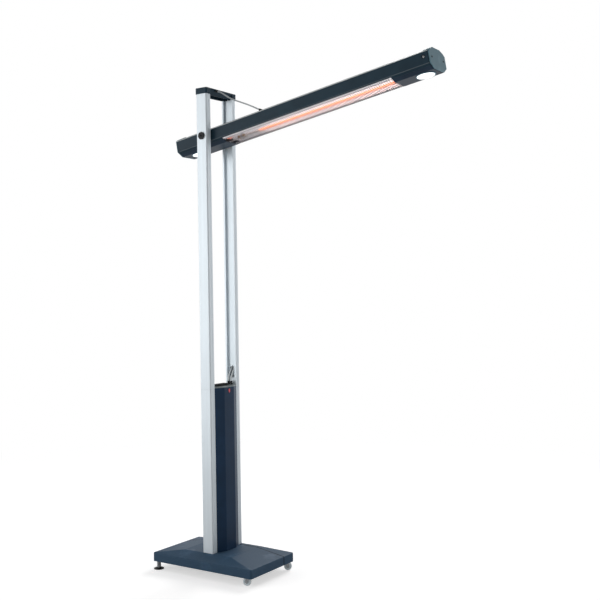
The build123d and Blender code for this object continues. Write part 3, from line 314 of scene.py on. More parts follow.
class Sheet:
    """A node tree built from expressions."""

    def __init__(self, tree: bpy.types.NodeTree) -> None:
        """Takes the tree of a material or of the world."""
        self.tree = tree

    def add(
        self, kind: str, output: str | int = 0, inputs: dict | None = None, **settings: object
    ) -> Signal:
        """Makes one node.

        Args:
            kind: the node's type.
            output: which of its outputs is wanted.
            inputs: values or signals for its sockets, by name or number.
            settings: its own settings, which are set first.

        Returns:
            The wanted output.
        """
        node = self.tree.nodes.new(kind)
        for key, value in settings.items():
            setattr(node, key, value)
        for key, value in (inputs or {}).items():
            self.feed(node.inputs[key], value)
        return Signal(self, node.outputs[output])

    def feed(self, socket: bpy.types.NodeSocket, value: "Signal | float | Sequence[float]") -> None:
        """Links a signal to a socket, or sets the socket's own value.

        Args:
            socket: the socket to feed.
            value: a signal, a number, a vector or a colour of three parts.
        """
        if isinstance(value, Signal):
            self.tree.links.new(value.socket, socket)
        elif socket.type == "RGBA" and len(value) == 3:
            socket.default_value = (*value, 1.0)
        else:
            socket.default_value = value

    def math(self, operation: str, first: Signal | float, second: Signal | float) -> Signal:
        """One step of arithmetic on two values."""
        return self.add("ShaderNodeMath", 0, {0: first, 1: second}, operation=operation)

    def vector_math(self, operation: str, first: Signal, second: Sequence[float]) -> Signal:
        """One step of arithmetic on vectors; a product or a length gives a number."""
        output = "Vector" if operation == "SUBTRACT" else "Value"
        return self.add(
            "ShaderNodeVectorMath", output, {0: first, 1: tuple(second)}, operation=operation
        )

    def ray(self, kind: str) -> Signal:
        """1 for a ray of one kind."""
        return self.add("ShaderNodeLightPath", kind)

    def mix(self, factor: Signal, first: Signal, second: Signal) -> Signal:
        """A shader between two shaders."""
        return self.add("ShaderNodeMixShader", 0, {0: factor, 1: first, 2: second})


class ShaderSheet(Sheet):
    """The node tree of one material, on object coordinates."""

    def __init__(self, name: str) -> None:
        """Starts a material with a bare surface shader.

        Args:
            name: the material's name.
        """
        self.material = bpy.data.materials.new(name)
        self.material.use_nodes = True
        super().__init__(self.material.node_tree)
        self.surface = self.tree.nodes["Principled BSDF"]

    def place(self, stretch: Point = (1, 1, 1)) -> Signal:
        """Object coordinates, each axis multiplied by its stretch."""
        at = self.add("ShaderNodeTexCoord", "Object")
        return self.add("ShaderNodeMapping", "Vector", {"Vector": at, "Scale": stretch})

    def noise(self, scale: float, detail: float = 2.0, at: Signal | None = None) -> Signal:
        """Soft noise from 0 to 1, with so many blotches per metre and layers of finer noise."""
        inputs = {"Vector": at or self.place(), "Scale": scale, "Detail": detail}
        return self.add("ShaderNodeTexNoise", "Fac", inputs)

    def cells(self, scale: float) -> Signal:
        """Distance from the middle of each of so many cells per metre."""
        return self.add("ShaderNodeTexVoronoi", "Distance", {"Vector": self.place(), "Scale": scale})

    def blend(self, factor: Signal | float, first: Signal | Colour, second: Signal | Colour) -> Signal:
        """A colour between two colours."""
        return self.add("ShaderNodeMix", 2, {0: factor, 6: first, 7: second}, data_type="RGBA")

    def dress(self, **sockets: Signal | float | Sequence[float]) -> None:
        """Feeds the surface shader; a socket's name has _ for its spaces."""
        for key, value in sockets.items():
            self.feed(self.surface.inputs[key.replace("_", " ")], value)

    def overlay(self, share: Signal, colour: Colour) -> None:
        """Lays a colour over the base colour as it is so far."""
        below = Signal(self, self.surface.inputs["Base Color"].links[0].from_socket)
        self.dress(Base_Color=self.blend(share, below, colour))

    def relief(self, height: Signal, depth: float, strength: float) -> None:
        """Raises the surface by a height signal, which stands for depth metres at 1."""
        inputs = {"Height": height, "Distance": depth, "Strength": strength}
        self.dress(Normal=self.add("ShaderNodeBump", "Normal", inputs))

    def along(self, direction: Vector, origin: Sequence[float]) -> Signal:
        """Distance of the shaded point along a direction from an origin, in metres."""
        return self.vector_math(
            "DOT_PRODUCT", self.vector_math("SUBTRACT", self.place(), origin), direction
        )


# --------------------------------------------------------------------- finishes


@dataclass(frozen=True)
class Finish:
    """A surface finish that makes its material once."""

    name: str
    colour: Colour

    def material(self) -> bpy.types.Material:
        """The finish's material, made at its first use."""
        known = bpy.data.materials.get(self.name)
        if known:
            return known
        sheet = ShaderSheet(self.name)
        self.paint(sheet)
        return sheet.material

    def paint(self, sheet: ShaderSheet) -> None:
        """Builds the finish; every finish has its own way.

        Args:
            sheet: the node tree that it is built on.
        """
        raise NotImplementedError


@dataclass(frozen=True)
class PowderCoat(Finish):
    """Fine-textured baked paint with faint cloudiness."""

    roughness: float = 0.46
    grain: float = 700.0
    depth: float = 0.00012
    gloss: float = 0.16

    def paint(self, sheet: ShaderSheet) -> None:
        """Builds the finish on a sheet."""
        cloud = sheet.noise(9.0, 3.0).within(0.3, 0.7)
        speck = sheet.noise(self.grain)
        sheet.dress(
            Base_Color=sheet.blend(cloud, tone(self.colour, 0.86), tone(self.colour, 1.1)),
            Roughness=self.roughness + 0.1 * speck,
            Specular_IOR_Level=self.gloss,
        )
        sheet.relief(speck, self.depth, 0.6)


@dataclass(frozen=True)
class EdgeHighlightCoat(PowderCoat):
    """Powder coat on the arm's profile with a painted highlight along its long edges, given as low, high and share."""

    # pale is the colour of the painted edge highlight.
    pale: Colour = (0.58, 0.62, 0.62)
    edges: tuple[Point, ...] = ((0.0270, 0.0308, 1.0), (-0.0266, -0.0248, 0.12))
    fade: float = 0.0008

    def paint(self, sheet: ShaderSheet) -> None:
        """Builds the finish on a sheet."""
        super().paint(sheet)
        rise = sheet.along(UP_FROM_ARM, PIVOT)
        # Painted highlight: pale bands along the top and lower long edges of the profile.
        lines = sum(rise.band(low, high, self.fade) * share for low, high, share in self.edges)
        sheet.overlay(lines, self.pale)


@dataclass(frozen=True)
class MouldedPlastic(Finish):
    """Moulded plastic with a spark-eroded grain and slightly scuffed patches."""

    roughness: float = 0.5
    gloss: float = 0.3

    def paint(self, sheet: ShaderSheet) -> None:
        """Builds the finish on a sheet."""
        grain = sheet.cells(420.0)
        scuff = sheet.noise(14.0, 4.0).within(0.52, 0.75)
        sheet.dress(
            Base_Color=sheet.blend(scuff, tone(self.colour, 0.9), tone(self.colour, 1.12, 0.004)),
            Roughness=self.roughness - 0.12 * scuff + 0.06 * grain,
            Specular_IOR_Level=self.gloss,
        )
        sheet.relief(grain, 0.00018, 0.5)


@dataclass(frozen=True)
class SeamShadedPlastic(MouldedPlastic):
    """Moulded plastic of the base, with painted shade along the shadow line of its seam."""

    seam: Point = (0, 0.091, 0)
    reach: Pair = (0.0024, 0.0034)

    def paint(self, sheet: ShaderSheet) -> None:
        """Builds the finish on a sheet."""
        super().paint(sheet)
        off = abs(sheet.along(LEFT, self.seam))
        # Painted shade: within a few millimetres of the seam the colour darkens to a fifth.
        sheet.overlay(1 - off.within(*self.reach), tone(self.colour, 0.2))


@dataclass(frozen=True)
class DrawnAluminium(Finish):
    """Satin anodised upright profile with fine drawing lines along its length."""

    metallic: float = 0.4
    roughness: float = 0.42
    stretch: Point = (1.0, 1.0, 0.015)

    def paint(self, sheet: ShaderSheet) -> None:
        """Builds the finish on a sheet."""
        drawn = sheet.place(self.stretch)
        lines = sheet.noise(900.0, 3.0, drawn)
        bands = 0.5 * sheet.noise(60.0, 2.0, drawn) + 0.5 * sheet.noise(3.0)
        sheet.dress(
            Base_Color=sheet.blend(bands.within(0.3, 0.7), tone(self.colour, 0.93), self.colour),
            Metallic=self.metallic,
            Roughness=self.roughness + 0.1 * lines,
        )
        sheet.relief(lines, 0.00004, 0.5)


@dataclass(frozen=True)
class BrightMetal(Finish):
    """Plated or polished metal with faint waves and a little haze."""

    roughness: float = 0.2
    wave: float = 30.0
    depth: float = 0.0002
    metallic: float = 1.0
    # glow is painted light: the surface gives light of its own though it is no lamp.
    glow: float = 0.0

    def paint(self, sheet: ShaderSheet) -> None:
        """Builds the finish on a sheet."""
        haze = sheet.noise(40.0, 4.0)
        sheet.dress(
            Base_Color=sheet.blend(haze.within(0.45, 0.8), self.colour, tone(self.colour, 0.82)),
            Metallic=self.metallic,
            Roughness=self.roughness + 0.12 * haze,
            Emission_Color=self.colour,
            Emission_Strength=self.glow,
        )
        sheet.relief(sheet.noise(self.wave, 1.0), self.depth, 0.4)


@dataclass(frozen=True)
class LampReflectionMetal(BrightMetal):
    """Bright metal with a painted reflection of the glowing lamp on its right-hand side, in orange colour and glow."""

    warm: Colour = (1.0, 0.2, 0.08)
    edge: Pair = (-0.034, 0.01)
    reflection_glow: float = 0.45

    def paint(self, sheet: ShaderSheet) -> None:
        """Builds the finish on a sheet."""
        super().paint(sheet)
        # Painted reflection: right of the edge the colour turns lamp orange and glows.
        beyond_reflection = sheet.along(LEFT, PIVOT).within(*self.edge)
        sheet.dress(
            Base_Color=sheet.blend(beyond_reflection, self.warm, self.colour),
            Emission_Color=sheet.blend(beyond_reflection, self.warm, BLACK),
            Emission_Strength=self.reflection_glow,
        )


@dataclass(frozen=True)
class GrilleSteel(BrightMetal):
    """Plated wire with a painted highlight: bands along the arm take a paler colour."""

    rail_highlight: Colour = (0.8, 0.78, 0.8)
    highlight_bands: tuple[Pair, ...] = ((0.0224, 0.0256), (0.0585, 0.08))
    fade: float = 0.0004

    def paint(self, sheet: ShaderSheet) -> None:
        """Builds the finish on a sheet."""
        super().paint(sheet)
        # Painted highlight: the bands across the arm get the paler colour.
        across = abs(sheet.along(LEFT, PIVOT))
        share = sum(across.band(near, far, self.fade) for near, far in self.highlight_bands)
        sheet.dress(Base_Color=sheet.blend(share, self.colour, self.rail_highlight))


@dataclass(frozen=True)
class Zinc(Finish):
    """Zinc plating with its pale spangle."""

    def paint(self, sheet: ShaderSheet) -> None:
        """Builds the finish on a sheet."""
        spangle = sheet.cells(260.0)
        haze = sheet.noise(60.0, 3.0).within(0.35, 0.75)
        sheet.dress(
            Base_Color=sheet.blend(haze, self.colour, tone(self.colour, 0.7)),
            Metallic=0.9,
            Roughness=0.3 + 0.2 * spangle,
        )
        sheet.relief(spangle, 0.00005, 0.4)


@dataclass(frozen=True)
class SoftRubber(Finish):
    """Matt rubber or soft cable sheath with dust in its pores."""

    roughness: float = 0.72
    dust: float = 0.25
    # glow is painted light: the surface gives light of its own though it is no lamp.
    glow: float = 0.0
    dust_grey: float = 0.32

    def paint(self, sheet: ShaderSheet) -> None:
        """Builds the finish on a sheet."""
        pores = sheet.noise(1100.0)
        share = 0.4 * self.dust
        dusty = tone(self.colour, 1 - share, share * self.dust_grey)
        sheet.dress(
            Base_Color=sheet.blend(sheet.noise(26.0, 4.0).within(0.45, 0.8), self.colour, dusty),
            Roughness=self.roughness + 0.12 * pores,
            Emission_Color=self.colour,
            Emission_Strength=self.glow,
        )
        sheet.relief(pores, 0.00008, 0.5)


@dataclass(frozen=True)
class GlowingLamp(Finish):
    """Quartz tube that glows along its heated length and stays clear at its cold ends."""

    cold: Colour = (0.75, 0.72, 0.7)
    heated: Pair = (0.277, 0.998)
    fade: float = 0.028
    hot: Colour = (0.9, 0.3, 0.16)
    deep: Colour = (1.0, 0.42, 0.26)
    glare: Colour = (1.0, 0.74, 0.66)
    strength: float = 1.15
    power: float = 8.0

    def paint(self, sheet: ShaderSheet) -> None:
        """Builds the finish on a sheet."""
        lit = sheet.along(ALONG_ARM, PIVOT).band(*self.heated, self.fade)
        ripple = sheet.noise(180.0)
        light = [tone(colour, self.strength / self.power) for colour in (self.colour, self.deep)]
        glow = sheet.blend(
            sheet.ray("Is Camera Ray"), self.glare, sheet.blend(ripple.within(0.3, 0.75), *light)
        )
        sheet.dress(
            Base_Color=sheet.blend(lit, self.cold, self.hot),
            Emission_Color=sheet.blend(lit, BLACK, glow),
            Emission_Strength=self.power,
            Roughness=0.1 + 0.15 * ripple,
        )


@dataclass(frozen=True)
class LitLens(Finish):
    """Frosted diffuser lit from behind."""

    def paint(self, sheet: ShaderSheet) -> None:
        """Builds the finish on a sheet."""
        frost = sheet.noise(500.0)
        sheet.dress(
            Base_Color=self.colour,
            Emission_Color=sheet.blend(frost.within(0.3, 0.8), self.colour, WHITE),
            Emission_Strength=1.6,
            Roughness=0.3 + 0.2 * frost,
        )
        sheet.relief(frost, 0.0001, 0.4)


@dataclass(frozen=True)
class ClearMoulding(Finish):
    """Glossy coloured moulding with a darker heart."""

    def paint(self, sheet: ShaderSheet) -> None:
        """Builds the finish on a sheet."""
        depth = sheet.noise(120.0)
        colour = sheet.blend(depth.within(0.25, 0.8), tone(self.colour, 0.35), self.colour)
        sheet.dress(
            Base_Color=colour,
            Emission_Color=colour,
            Emission_Strength=0.35,
            Roughness=0.12 + 0.1 * depth,
            Coat_Weight=0.6,
        )


@dataclass(frozen=True)
class Ceramic(Finish):
    """Unglazed lamp ceramic, browned by heat."""

    scorched: Colour = (0.28, 0.17, 0.09)

    def paint(self, sheet: ShaderSheet) -> None:
        """Builds the finish on a sheet."""
        pores = sheet.noise(1500.0)
        scorch = sheet.noise(90.0, 4.0).within(0.35, 0.7)
        sheet.dress(
            Base_Color=sheet.blend(scorch, self.colour, self.scorched),
            Roughness=0.7 + 0.15 * pores,
        )
        sheet.relief(pores, 0.0001, 0.6)


class Finishes(Enum):
    """Every finish on the heater."""

    COVER = SeamShadedPlastic("slate cover plastic", srgb(60, 86, 110), 0.44, 0.12)
    CAP = MouldedPlastic("slate cap plastic", srgb(84, 120, 134), 0.4)
    PROFILE = EdgeHighlightCoat("slate painted profile", srgb(28, 50, 63), 0.36)
    FOLDED = PowderCoat("slate painted covers", srgb(34, 50, 66), 0.4)
    BOX = PowderCoat("slate painted box", srgb(24, 52, 80), 0.32)
    LID = MouldedPlastic("grey lid plastic", srgb(128, 138, 140), 0.28)
    BRIDGE = PowderCoat("slate painted casting", srgb(32, 54, 68), 0.44, 500.0, 0.0002)
    STEEL = PowderCoat("black painted steel", srgb(38, 40, 44), 0.5)
    MAST = DrawnAluminium("satin anodised mast", srgb(222, 231, 237))
    # The polished reflector's glow of 0.3 is painted light.
    REFLECTOR = BrightMetal("polished reflector", srgb(244, 240, 244), 0.34, 22.0, 0.0006, 0.4, 0.3)
    # Painted reflection of the glowing lamp on the reflector's end.
    LAMP_REFLECTION = LampReflectionMetal("reflector end lit by the lamp", srgb(236, 232, 234), 0.3, 22.0, 0.0006, 0.5)
    # The grille edge's glow of 0.3 is painted light that brightens the strip in the shade under the arm.
    FLANGE = BrightMetal("plated grille edge", srgb(236, 232, 234), 0.4, metallic=0.1, glow=0.3)
    # The plated wire and its ends are coloured dark as painted shade, so they read dark against the bright reflector.
    ENDS = BrightMetal("plated wire ends", srgb(74, 72, 78), 0.45, metallic=0.5)
    WIRE = GrilleSteel("plated grille wire", srgb(30, 28, 34), 0.5, metallic=0.3)
    ZINC = Zinc("zinc plate", srgb(190, 194, 198))
    BRONZE = BrightMetal("sintered bronze", srgb(166, 122, 66), 0.4)
    IRON = PowderCoat("raw cast iron", srgb(62, 62, 64), 0.62, 300.0, 0.0004)
    BLACK = MouldedPlastic("black plastic", srgb(24, 27, 31), 0.42)
    RUBBER = SoftRubber("black rubber", srgb(26, 27, 29))
    # The castor tread's glow of 0.1 is painted light that lifts the wheels out of the shade under the base.
    TREAD = SoftRubber("grey castor tread", srgb(216, 226, 230), 0.5, 0.1, 0.1)
    SHEATH = SoftRubber("grey lead sheath", srgb(180, 185, 188), 0.42, 0.1)
    # The riser leads' sheath is paler than the arm lead's as painted light, which lifts them out of the shade in the
    # mast's channel.
    BRIGHTENED_SHEATH = SoftRubber("pale riser sheath", srgb(232, 235, 236), 0.42, 0.1)
    LAMP = GlowingLamp("glowing quartz lamp", srgb(255, 160, 128))
    COIL = GlowingLamp("glowing coil", srgb(255, 176, 120), (0.5, 0.48, 0.46), strength=1.6, power=1.7)
    LENS = LitLens("lit spot lens", srgb(252, 252, 252))
    PILOT = ClearMoulding("red pilot moulding", srgb(206, 30, 46))
    LAMP_END = Ceramic("lamp ceramic", srgb(206, 188, 160))
    BOARD = MouldedPlastic("solder mask", srgb(34, 84, 58), 0.3)
    POTTED = MouldedPlastic("dark module casing", srgb(40, 42, 46), 0.4)


CAD_FINISHES: dict[Finishes, str] = {
    Finishes.COVER: "base_cover_main base_cover_side",
    Finishes.PROFILE: "arm_housing",
    Finishes.FOLDED: "arm_cover_inner arm_cover_outer",
    Finishes.CAP: "arm_cap_inner arm_cap_outer led_bezels",
    Finishes.BOX: "box_front box_back",
    Finishes.BRIDGE: "bridge_yoke bridge_hatch",
    Finishes.STEEL: "chassis_plate mast_feet",
    Finishes.MAST: "mast_right_lower mast_left_lower mast_right_upper mast_left_upper",
    Finishes.REFLECTOR: "reflector",
    Finishes.LAMP_REFLECTION: "reflector_ends",
    Finishes.WIRE: "wire_grille",
    Finishes.ZINC: "mast_foot_bolts foot_nuts castor_mounts castor_right_fork castor_left_fork "
    "mast_spigots control_plate arm_screws lamp_clips pivot_plates foot_right_stem foot_left_stem",
    Finishes.BRONZE: "pivot_bushes",
    Finishes.IRON: "ballast_plates",
    Finishes.BLACK: "box_glands mains_gland pivot_bolts pivot_discs arm_gland foot_right_pad foot_left_pad",
    Finishes.LID: "box_lid",
    Finishes.RUBBER: "bridge_grommet lid_pad",
    Finishes.TREAD: "castor_right_wheel castor_left_wheel",
    Finishes.SHEATH: "arm_lead",
    Finishes.BRIGHTENED_SHEATH: "riser_leads",
    Finishes.LAMP: "lamp_tube lamp_filament",
    Finishes.LENS: "led_lenses",
    Finishes.PILOT: "pilot_lens",
    Finishes.LAMP_END: "lamp_bases junction_block mains_terminals",
    Finishes.BOARD: "control_board led_boards",
    Finishes.POTTED: "power_relay led_driver",
}


def coat(piece: bpy.types.Object, finish: Finishes) -> None:
    """Gives a piece one finish all over."""
    piece.data.materials.clear()
    piece.data.materials.append(finish.value.material())


def dress_cad_nodes() -> None:
    """Gives every carried-over node its finish."""
    for finish, nodes in CAD_FINISHES.items():
        for name in nodes.split():
            coat(frame["nodes"][name], finish)
        log.info("finish %s on %s", finish.value.name, nodes)


# -------------------------------------------------------------- light and camera


def choose(*bodies: bpy.types.Object) -> None:
    """Selects these objects and nothing else.

    Args:
        bodies: the objects; the first becomes the active one, and without any nothing is selected.
    """
    bpy.ops.object.select_all(action="DESELECT")
    for body in bodies:
        body.select_set(True)
    if bodies:
        bpy.context.view_layer.objects.active = bodies[0]


def hang(name: str, data: bpy.types.ID) -> bpy.types.Object:
    """Puts a new object into the scene.

    Args:
        name: the object's name.
        data: the mesh, curve, lamp or camera that it shows.

    Returns:
        The object.
    """
    thing = bpy.data.objects.new(name, data)
    bpy.context.scene.collection.objects.link(thing)
    return thing


@dataclass
class Studio:
    """Camera, lamps, sky and floor, in radians, metres and watts; lens and sensor in millimetres."""

    eye: Point = (2.8822, -3.6247, 1.3521)
    yaw: float = math.radians(33.584)
    pitch: float = math.radians(-0.456)
    roll: float = math.radians(-0.848)
    lens: float = 56.518
    sensor: float = 36.0
    clip: float = 60.0
    target: Point = (0.2, 0.0, 1.2)
    lamps: tuple[tuple[str, Point, float, float], ...] = (
        ("key", (-4.2, -4.4, 1.9), 3.6, 100.0),
        ("back", (-0.4, 4.6, 3.9), 2.6, 138.0),
        ("top", (0.6, -0.9, 5.6), 2.4, 25.0),
    )
    sky: float = 0.88
    dark: float = 0.16
    dark_edge: Pair = (0.2, 0.85)
    dark_roof: Pair = (0.4, 0.8)
    floor_grey: Colour = (0.72, 0.72, 0.72)
    floor_glow: float = 0.55
    floor_radius: float = 9.0
    floor_fade: Pair = (1.6, 4.0)

    def camera(self) -> None:
        """Puts the camera where the photograph was taken from."""
        turn = Matrix.Rotation(self.yaw, 3, "Z")
        right, ahead = turn @ AHEAD, turn @ LEFT
        look = math.cos(self.pitch) * ahead + math.sin(self.pitch) * UP
        head = -math.sin(self.pitch) * ahead + math.cos(self.pitch) * UP
        side = math.cos(self.roll) * right + math.sin(self.roll) * head
        top = -math.sin(self.roll) * right + math.cos(self.roll) * head
        data = bpy.data.cameras.new("camera")
        data.lens = self.lens
        data.sensor_width = self.sensor
        data.clip_end = self.clip
        camera = hang("camera", data)
        camera.matrix_world = axes_at(Vector(self.eye), side, top, -look)
        bpy.context.scene.camera = camera
        bpy.context.scene.view_settings.view_transform = "Standard"

    def lamp(self, name: str, at: Point, size: float, power: float) -> None:
        """Adds one soft square lamp that looks at the middle of the heater.

        Args:
            name: the lamp's name.
            at: where it stands.
            size: its side, in metres.
            power: its power, in watts.
        """
        data = bpy.data.lights.new(name, "AREA")
        data.shape = "SQUARE"
        data.size = size
        data.energy = power
        hang(name, data).matrix_world = frame_of(Vector(at), Vector(at) - Vector(self.target))

    def world(self) -> None:
        """Lights the heater from all round, less from the camera's side, and shows white behind it."""
        world = bpy.data.worlds.new("studio")
        world.use_nodes = True
        sheet = Sheet(world.node_tree)
        sheet.tree.nodes.remove(sheet.tree.nodes["Background"])
        sky, dark, white = (
            sheet.add("ShaderNodeBackground", 0, {"Color": WHITE, "Strength": level})
            for level in (self.sky, self.dark, 1.0)
        )
        heading = sheet.add("ShaderNodeTexCoord", "Generated")
        nearer = (math.sin(self.yaw), -math.cos(self.yaw), 0)
        facing = sheet.vector_math("DOT_PRODUCT", heading, nearer)
        rise = sheet.add("ShaderNodeSeparateXYZ", "Z", {0: heading})
        dim = sheet.math("MAXIMUM", facing.within(*self.dark_edge), rise.within(*self.dark_roof))
        seen = sheet.math("MAXIMUM", sheet.ray("Is Camera Ray"), sheet.ray("Is Transmission Ray"))
        light = sheet.mix(seen, sheet.mix(dim, sky, dark), white)
        sheet.feed(sheet.tree.nodes["World Output"].inputs["Surface"], light)
        bpy.context.scene.world = world

    def floor(self) -> None:
        """Lays a pale round floor that fades into the white behind it."""
        choose()
        bpy.ops.mesh.primitive_circle_add(vertices=96, radius=self.floor_radius, fill_type="NGON")
        floor = bpy.context.active_object
        floor.name = "floor"
        sheet = ShaderSheet("pale floor")
        sheet.dress(
            Base_Color=self.floor_grey,
            Roughness=0.9,
            Specular_IOR_Level=0.1,
            Emission_Color=sheet.blend(sheet.ray("Is Camera Ray"), BLACK, WHITE),
            Emission_Strength=self.floor_glow,
        )
        far = sheet.vector_math("LENGTH", sheet.place(), (0, 0, 0)).within(*self.floor_fade)
        white = sheet.add("ShaderNodeEmission", 0, {"Color": WHITE, "Strength": 1.0})
        surface = sheet.mix(far, Signal(sheet, sheet.surface.outputs[0]), white)
        sheet.feed(sheet.tree.nodes["Material Output"].inputs["Surface"], surface)
        floor.data.materials.append(sheet.material)
        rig.stage(floor)

    def build(self) -> None:
        """Sets up the whole studio."""
        self.camera()
        self.world()
        self.floor()
        for lamp in self.lamps:
            self.lamp(*lamp)
        log.info("studio: camera, sky, floor and %d lamps", len(self.lamps))


# ------------------------------------------------------------------ the bench


@dataclass(frozen=True)
class Ring:
    """One ring of a turned shape, in millimetres; corners is 6 for a hexagon, 0 for a circle.

    An outline, of the type Rings, gives the same values as plain numbers.
    """

    radius: float
    height: float
    corners: int = 0


class Workpiece:
    """One piece on the bench, in millimetres: a primitive shaped step by step, then set in place."""

    def __init__(self, name: str) -> None:
        """Takes the object that was just added and opens it for editing.

        Args:
            name: the piece's name.
        """
        self.body = bpy.context.active_object
        self.body.name = name
        self.body.data.name = name
        bpy.ops.object.mode_set(mode="EDIT")
        bpy.ops.mesh.select_mode(type="VERT")
        bpy.ops.mesh.select_all(action="SELECT")

    @classmethod
    def turned(
        cls, name: str, outline: Sequence[tuple[float, ...]], sides: int = 36, looped: bool = False
    ) -> "Workpiece":
        """A shape turned round Z, drawn ring by ring.

        Args:
            name: the piece's name.
            outline: radius, height and any corners of each ring, from one end to the other.
            sides: facets round it.
            looped: whether the outline returns to its first ring, as round a bore.

        Returns:
            The piece, closed.
        """
        first, *path = (Ring(*ring) for ring in outline)
        choose()
        bpy.ops.mesh.primitive_circle_add(
            vertices=sides, radius=first.radius, location=(0, 0, first.height)
        )
        bpy.ops.object.transform_apply(location=True)
        piece = cls(name)
        if first.corners:
            piece.reshape_ring(first)
        before = first
        for ring in [*path, first] if looped else path:
            piece.extrude((0, 0, ring.height - before.height))
            if ring.radius == 0:
                bpy.ops.mesh.merge(type="CENTER")
            elif ring.corners or before.corners:
                piece.reshape_ring(ring)
            elif ring.radius != before.radius:
                piece.scale(ring.radius / before.radius, ring.radius / before.radius)
            before = ring
        bpy.ops.mesh.select_all(action="SELECT")
        bpy.ops.mesh.remove_doubles(threshold=0.002)
        if not looped:
            bpy.ops.mesh.fill_holes(sides=0)
        piece.close()
        return piece

    @classmethod
    def outlined(cls, name: str, outline: Sequence[Pair], height: float) -> "Workpiece":
        """A plate cut to an outline.

        Args:
            name: the piece's name.
            outline: its corners in X and Y.
            height: how thick it is along Z, down from Z 0 where it is negative.

        Returns:
            The piece, still open for editing.
        """
        choose()
        bpy.ops.mesh.primitive_circle_add(vertices=len(outline), radius=1, fill_type="NGON")
        piece = cls(name)
        with piece.edited() as mesh:
            for vertex, (x, y) in zip(sorted(mesh.verts, key=lambda v: v.index), outline):
                vertex.co = (x, y, 0)
        piece.extrude((0, 0, height))
        return piece

    @classmethod
    def block(cls, name: str, size: Point, centre: Point) -> "Workpiece":
        """A rectangular block.

        Args:
            name: the piece's name.
            size: its size along each axis.
            centre: where its middle is.

        Returns:
            The piece, still open for editing.
        """
        choose()
        bpy.ops.mesh.primitive_cube_add(size=1)
        piece = cls(name)
        piece.scale(*size)
        bpy.ops.transform.translate(value=centre)
        return piece

    @classmethod
    def gathered(cls, name: str, *placed: tuple["Workpiece", Matrix]) -> "Workpiece":
        """Copies of closed pieces, each at its place in the model, joined to one piece.

        Args:
            name: the joined piece's name.
            placed: each copy's pattern, which is removed afterwards, and its place.

        Returns:
            The joined piece, closed, in millimetres in the model's own axes.
        """
        made = [piece.copy(TO_MM @ place @ TO_METRES) for piece, place in placed]
        for body in {piece.body.name: piece.body for piece, _ in placed}.values():
            bpy.data.objects.remove(body)
        made[0].merge_in(*made[1:])
        made[0].body.name = name
        return made[0]

    @contextmanager
    def edited(self) -> Iterator[bmesh.types.BMesh]:
        """The open piece's mesh, written back afterwards."""
        yield bmesh.from_edit_mesh(self.body.data)
        bmesh.update_edit_mesh(self.body.data)

    def reshape_ring(self, ring: Ring) -> None:
        """Moves the selected points out to a circle or a regular outline.

        Args:
            ring: the radius and corners that they take.
        """
        with self.edited() as mesh:
            for vertex in (v for v in mesh.verts if v.select):
                angle = math.atan2(vertex.co.y, vertex.co.x)
                reach = ring.radius
                if ring.corners:
                    part = 2 * math.pi / ring.corners
                    reach *= math.cos(part / 2) / math.cos((angle + 1e-6) % part - part / 2)
                vertex.co.x, vertex.co.y = reach * math.cos(angle), reach * math.sin(angle)

    def extrude(self, shift: Point) -> None:
        """Draws the selection out by a shift and keeps the new end selected."""
        bpy.ops.mesh.extrude_region()
        if any(shift):
            bpy.ops.transform.translate(value=shift)

    def scale(self, x: float, y: float, z: float = 1.0) -> None:
        """Scales the selection about the piece's own origin."""
        bpy.ops.transform.resize(value=(x, y, z), center_override=(0, 0, 0))

    def pick_faces(self, way: int = 1) -> None:
        """Selects the faces that look one way, and nothing else.

        Args:
            way: 1 for those that look up, -1 for down.
        """
        bpy.ops.mesh.select_all(action="DESELECT")
        bpy.ops.mesh.select_mode(type="FACE")
        with self.edited() as mesh:
            mesh.normal_update()
            for face in mesh.faces:
                face.select_set(way * face.normal.z > 0.9)

    def pick_edges(self, wanted: Callable[[Vector, Vector], bool]) -> None:
        """Selects some of the edges, and nothing else.

        Args:
            wanted: the test of an edge's two ends.
        """
        bpy.ops.mesh.select_all(action="DESELECT")
        bpy.ops.mesh.select_mode(type="EDGE")
        with self.edited() as mesh:
            for edge in mesh.edges:
                edge.select_set(wanted(edge.verts[0].co, edge.verts[1].co))

    def ease(self, width: float, segments: int) -> None:
        """Rounds the selected edges."""
        bpy.ops.mesh.bevel(offset=width, segments=segments, affect="EDGES")

    def sink(self, *steps: Pair) -> None:
        """Insets the selected faces by each step's margin and moves them out by its depth."""
        for margin, depth in steps:
            bpy.ops.mesh.inset(thickness=margin, depth=depth)

    def close(self) -> None:
        """Ends editing with the faces turned outwards."""
        bpy.ops.mesh.select_all(action="SELECT")
        bpy.ops.mesh.normals_make_consistent(inside=False)
        bpy.ops.object.mode_set(mode="OBJECT")

    def modify(self, kind: str, **settings: object) -> None:
        """Adds one modifier and applies it.

        Args:
            kind: the modifier's type.
            settings: its settings.
        """
        modifier = self.body.modifiers.new(kind.lower(), kind)
        for key, value in settings.items():
            setattr(modifier, key, value)
        bpy.context.view_layer.objects.active = self.body
        bpy.ops.object.modifier_apply(modifier=modifier.name)

    def soften(self, width: float, segments: int = 2) -> None:
        """Closes the piece and rounds its sharper edges.

        Args:
            width: how wide the rounding is.
            segments: facets across it.
        """
        self.close()
        self.modify(
            "BEVEL", width=width, segments=segments, limit_method="ANGLE",
            angle_limit=SOFTENED_ANGLE, harden_normals=False,
        )

    def merge_in(self, *others: "Workpiece") -> None:
        """Joins other pieces, already closed, to this one."""
        choose(self.body, *(other.body for other in others))
        bpy.ops.object.join()

    def move(self, x: float, y: float, z: float) -> None:
        """Shifts the closed piece on the bench."""
        self.body.data.transform(Matrix.Translation((x, y, z)))

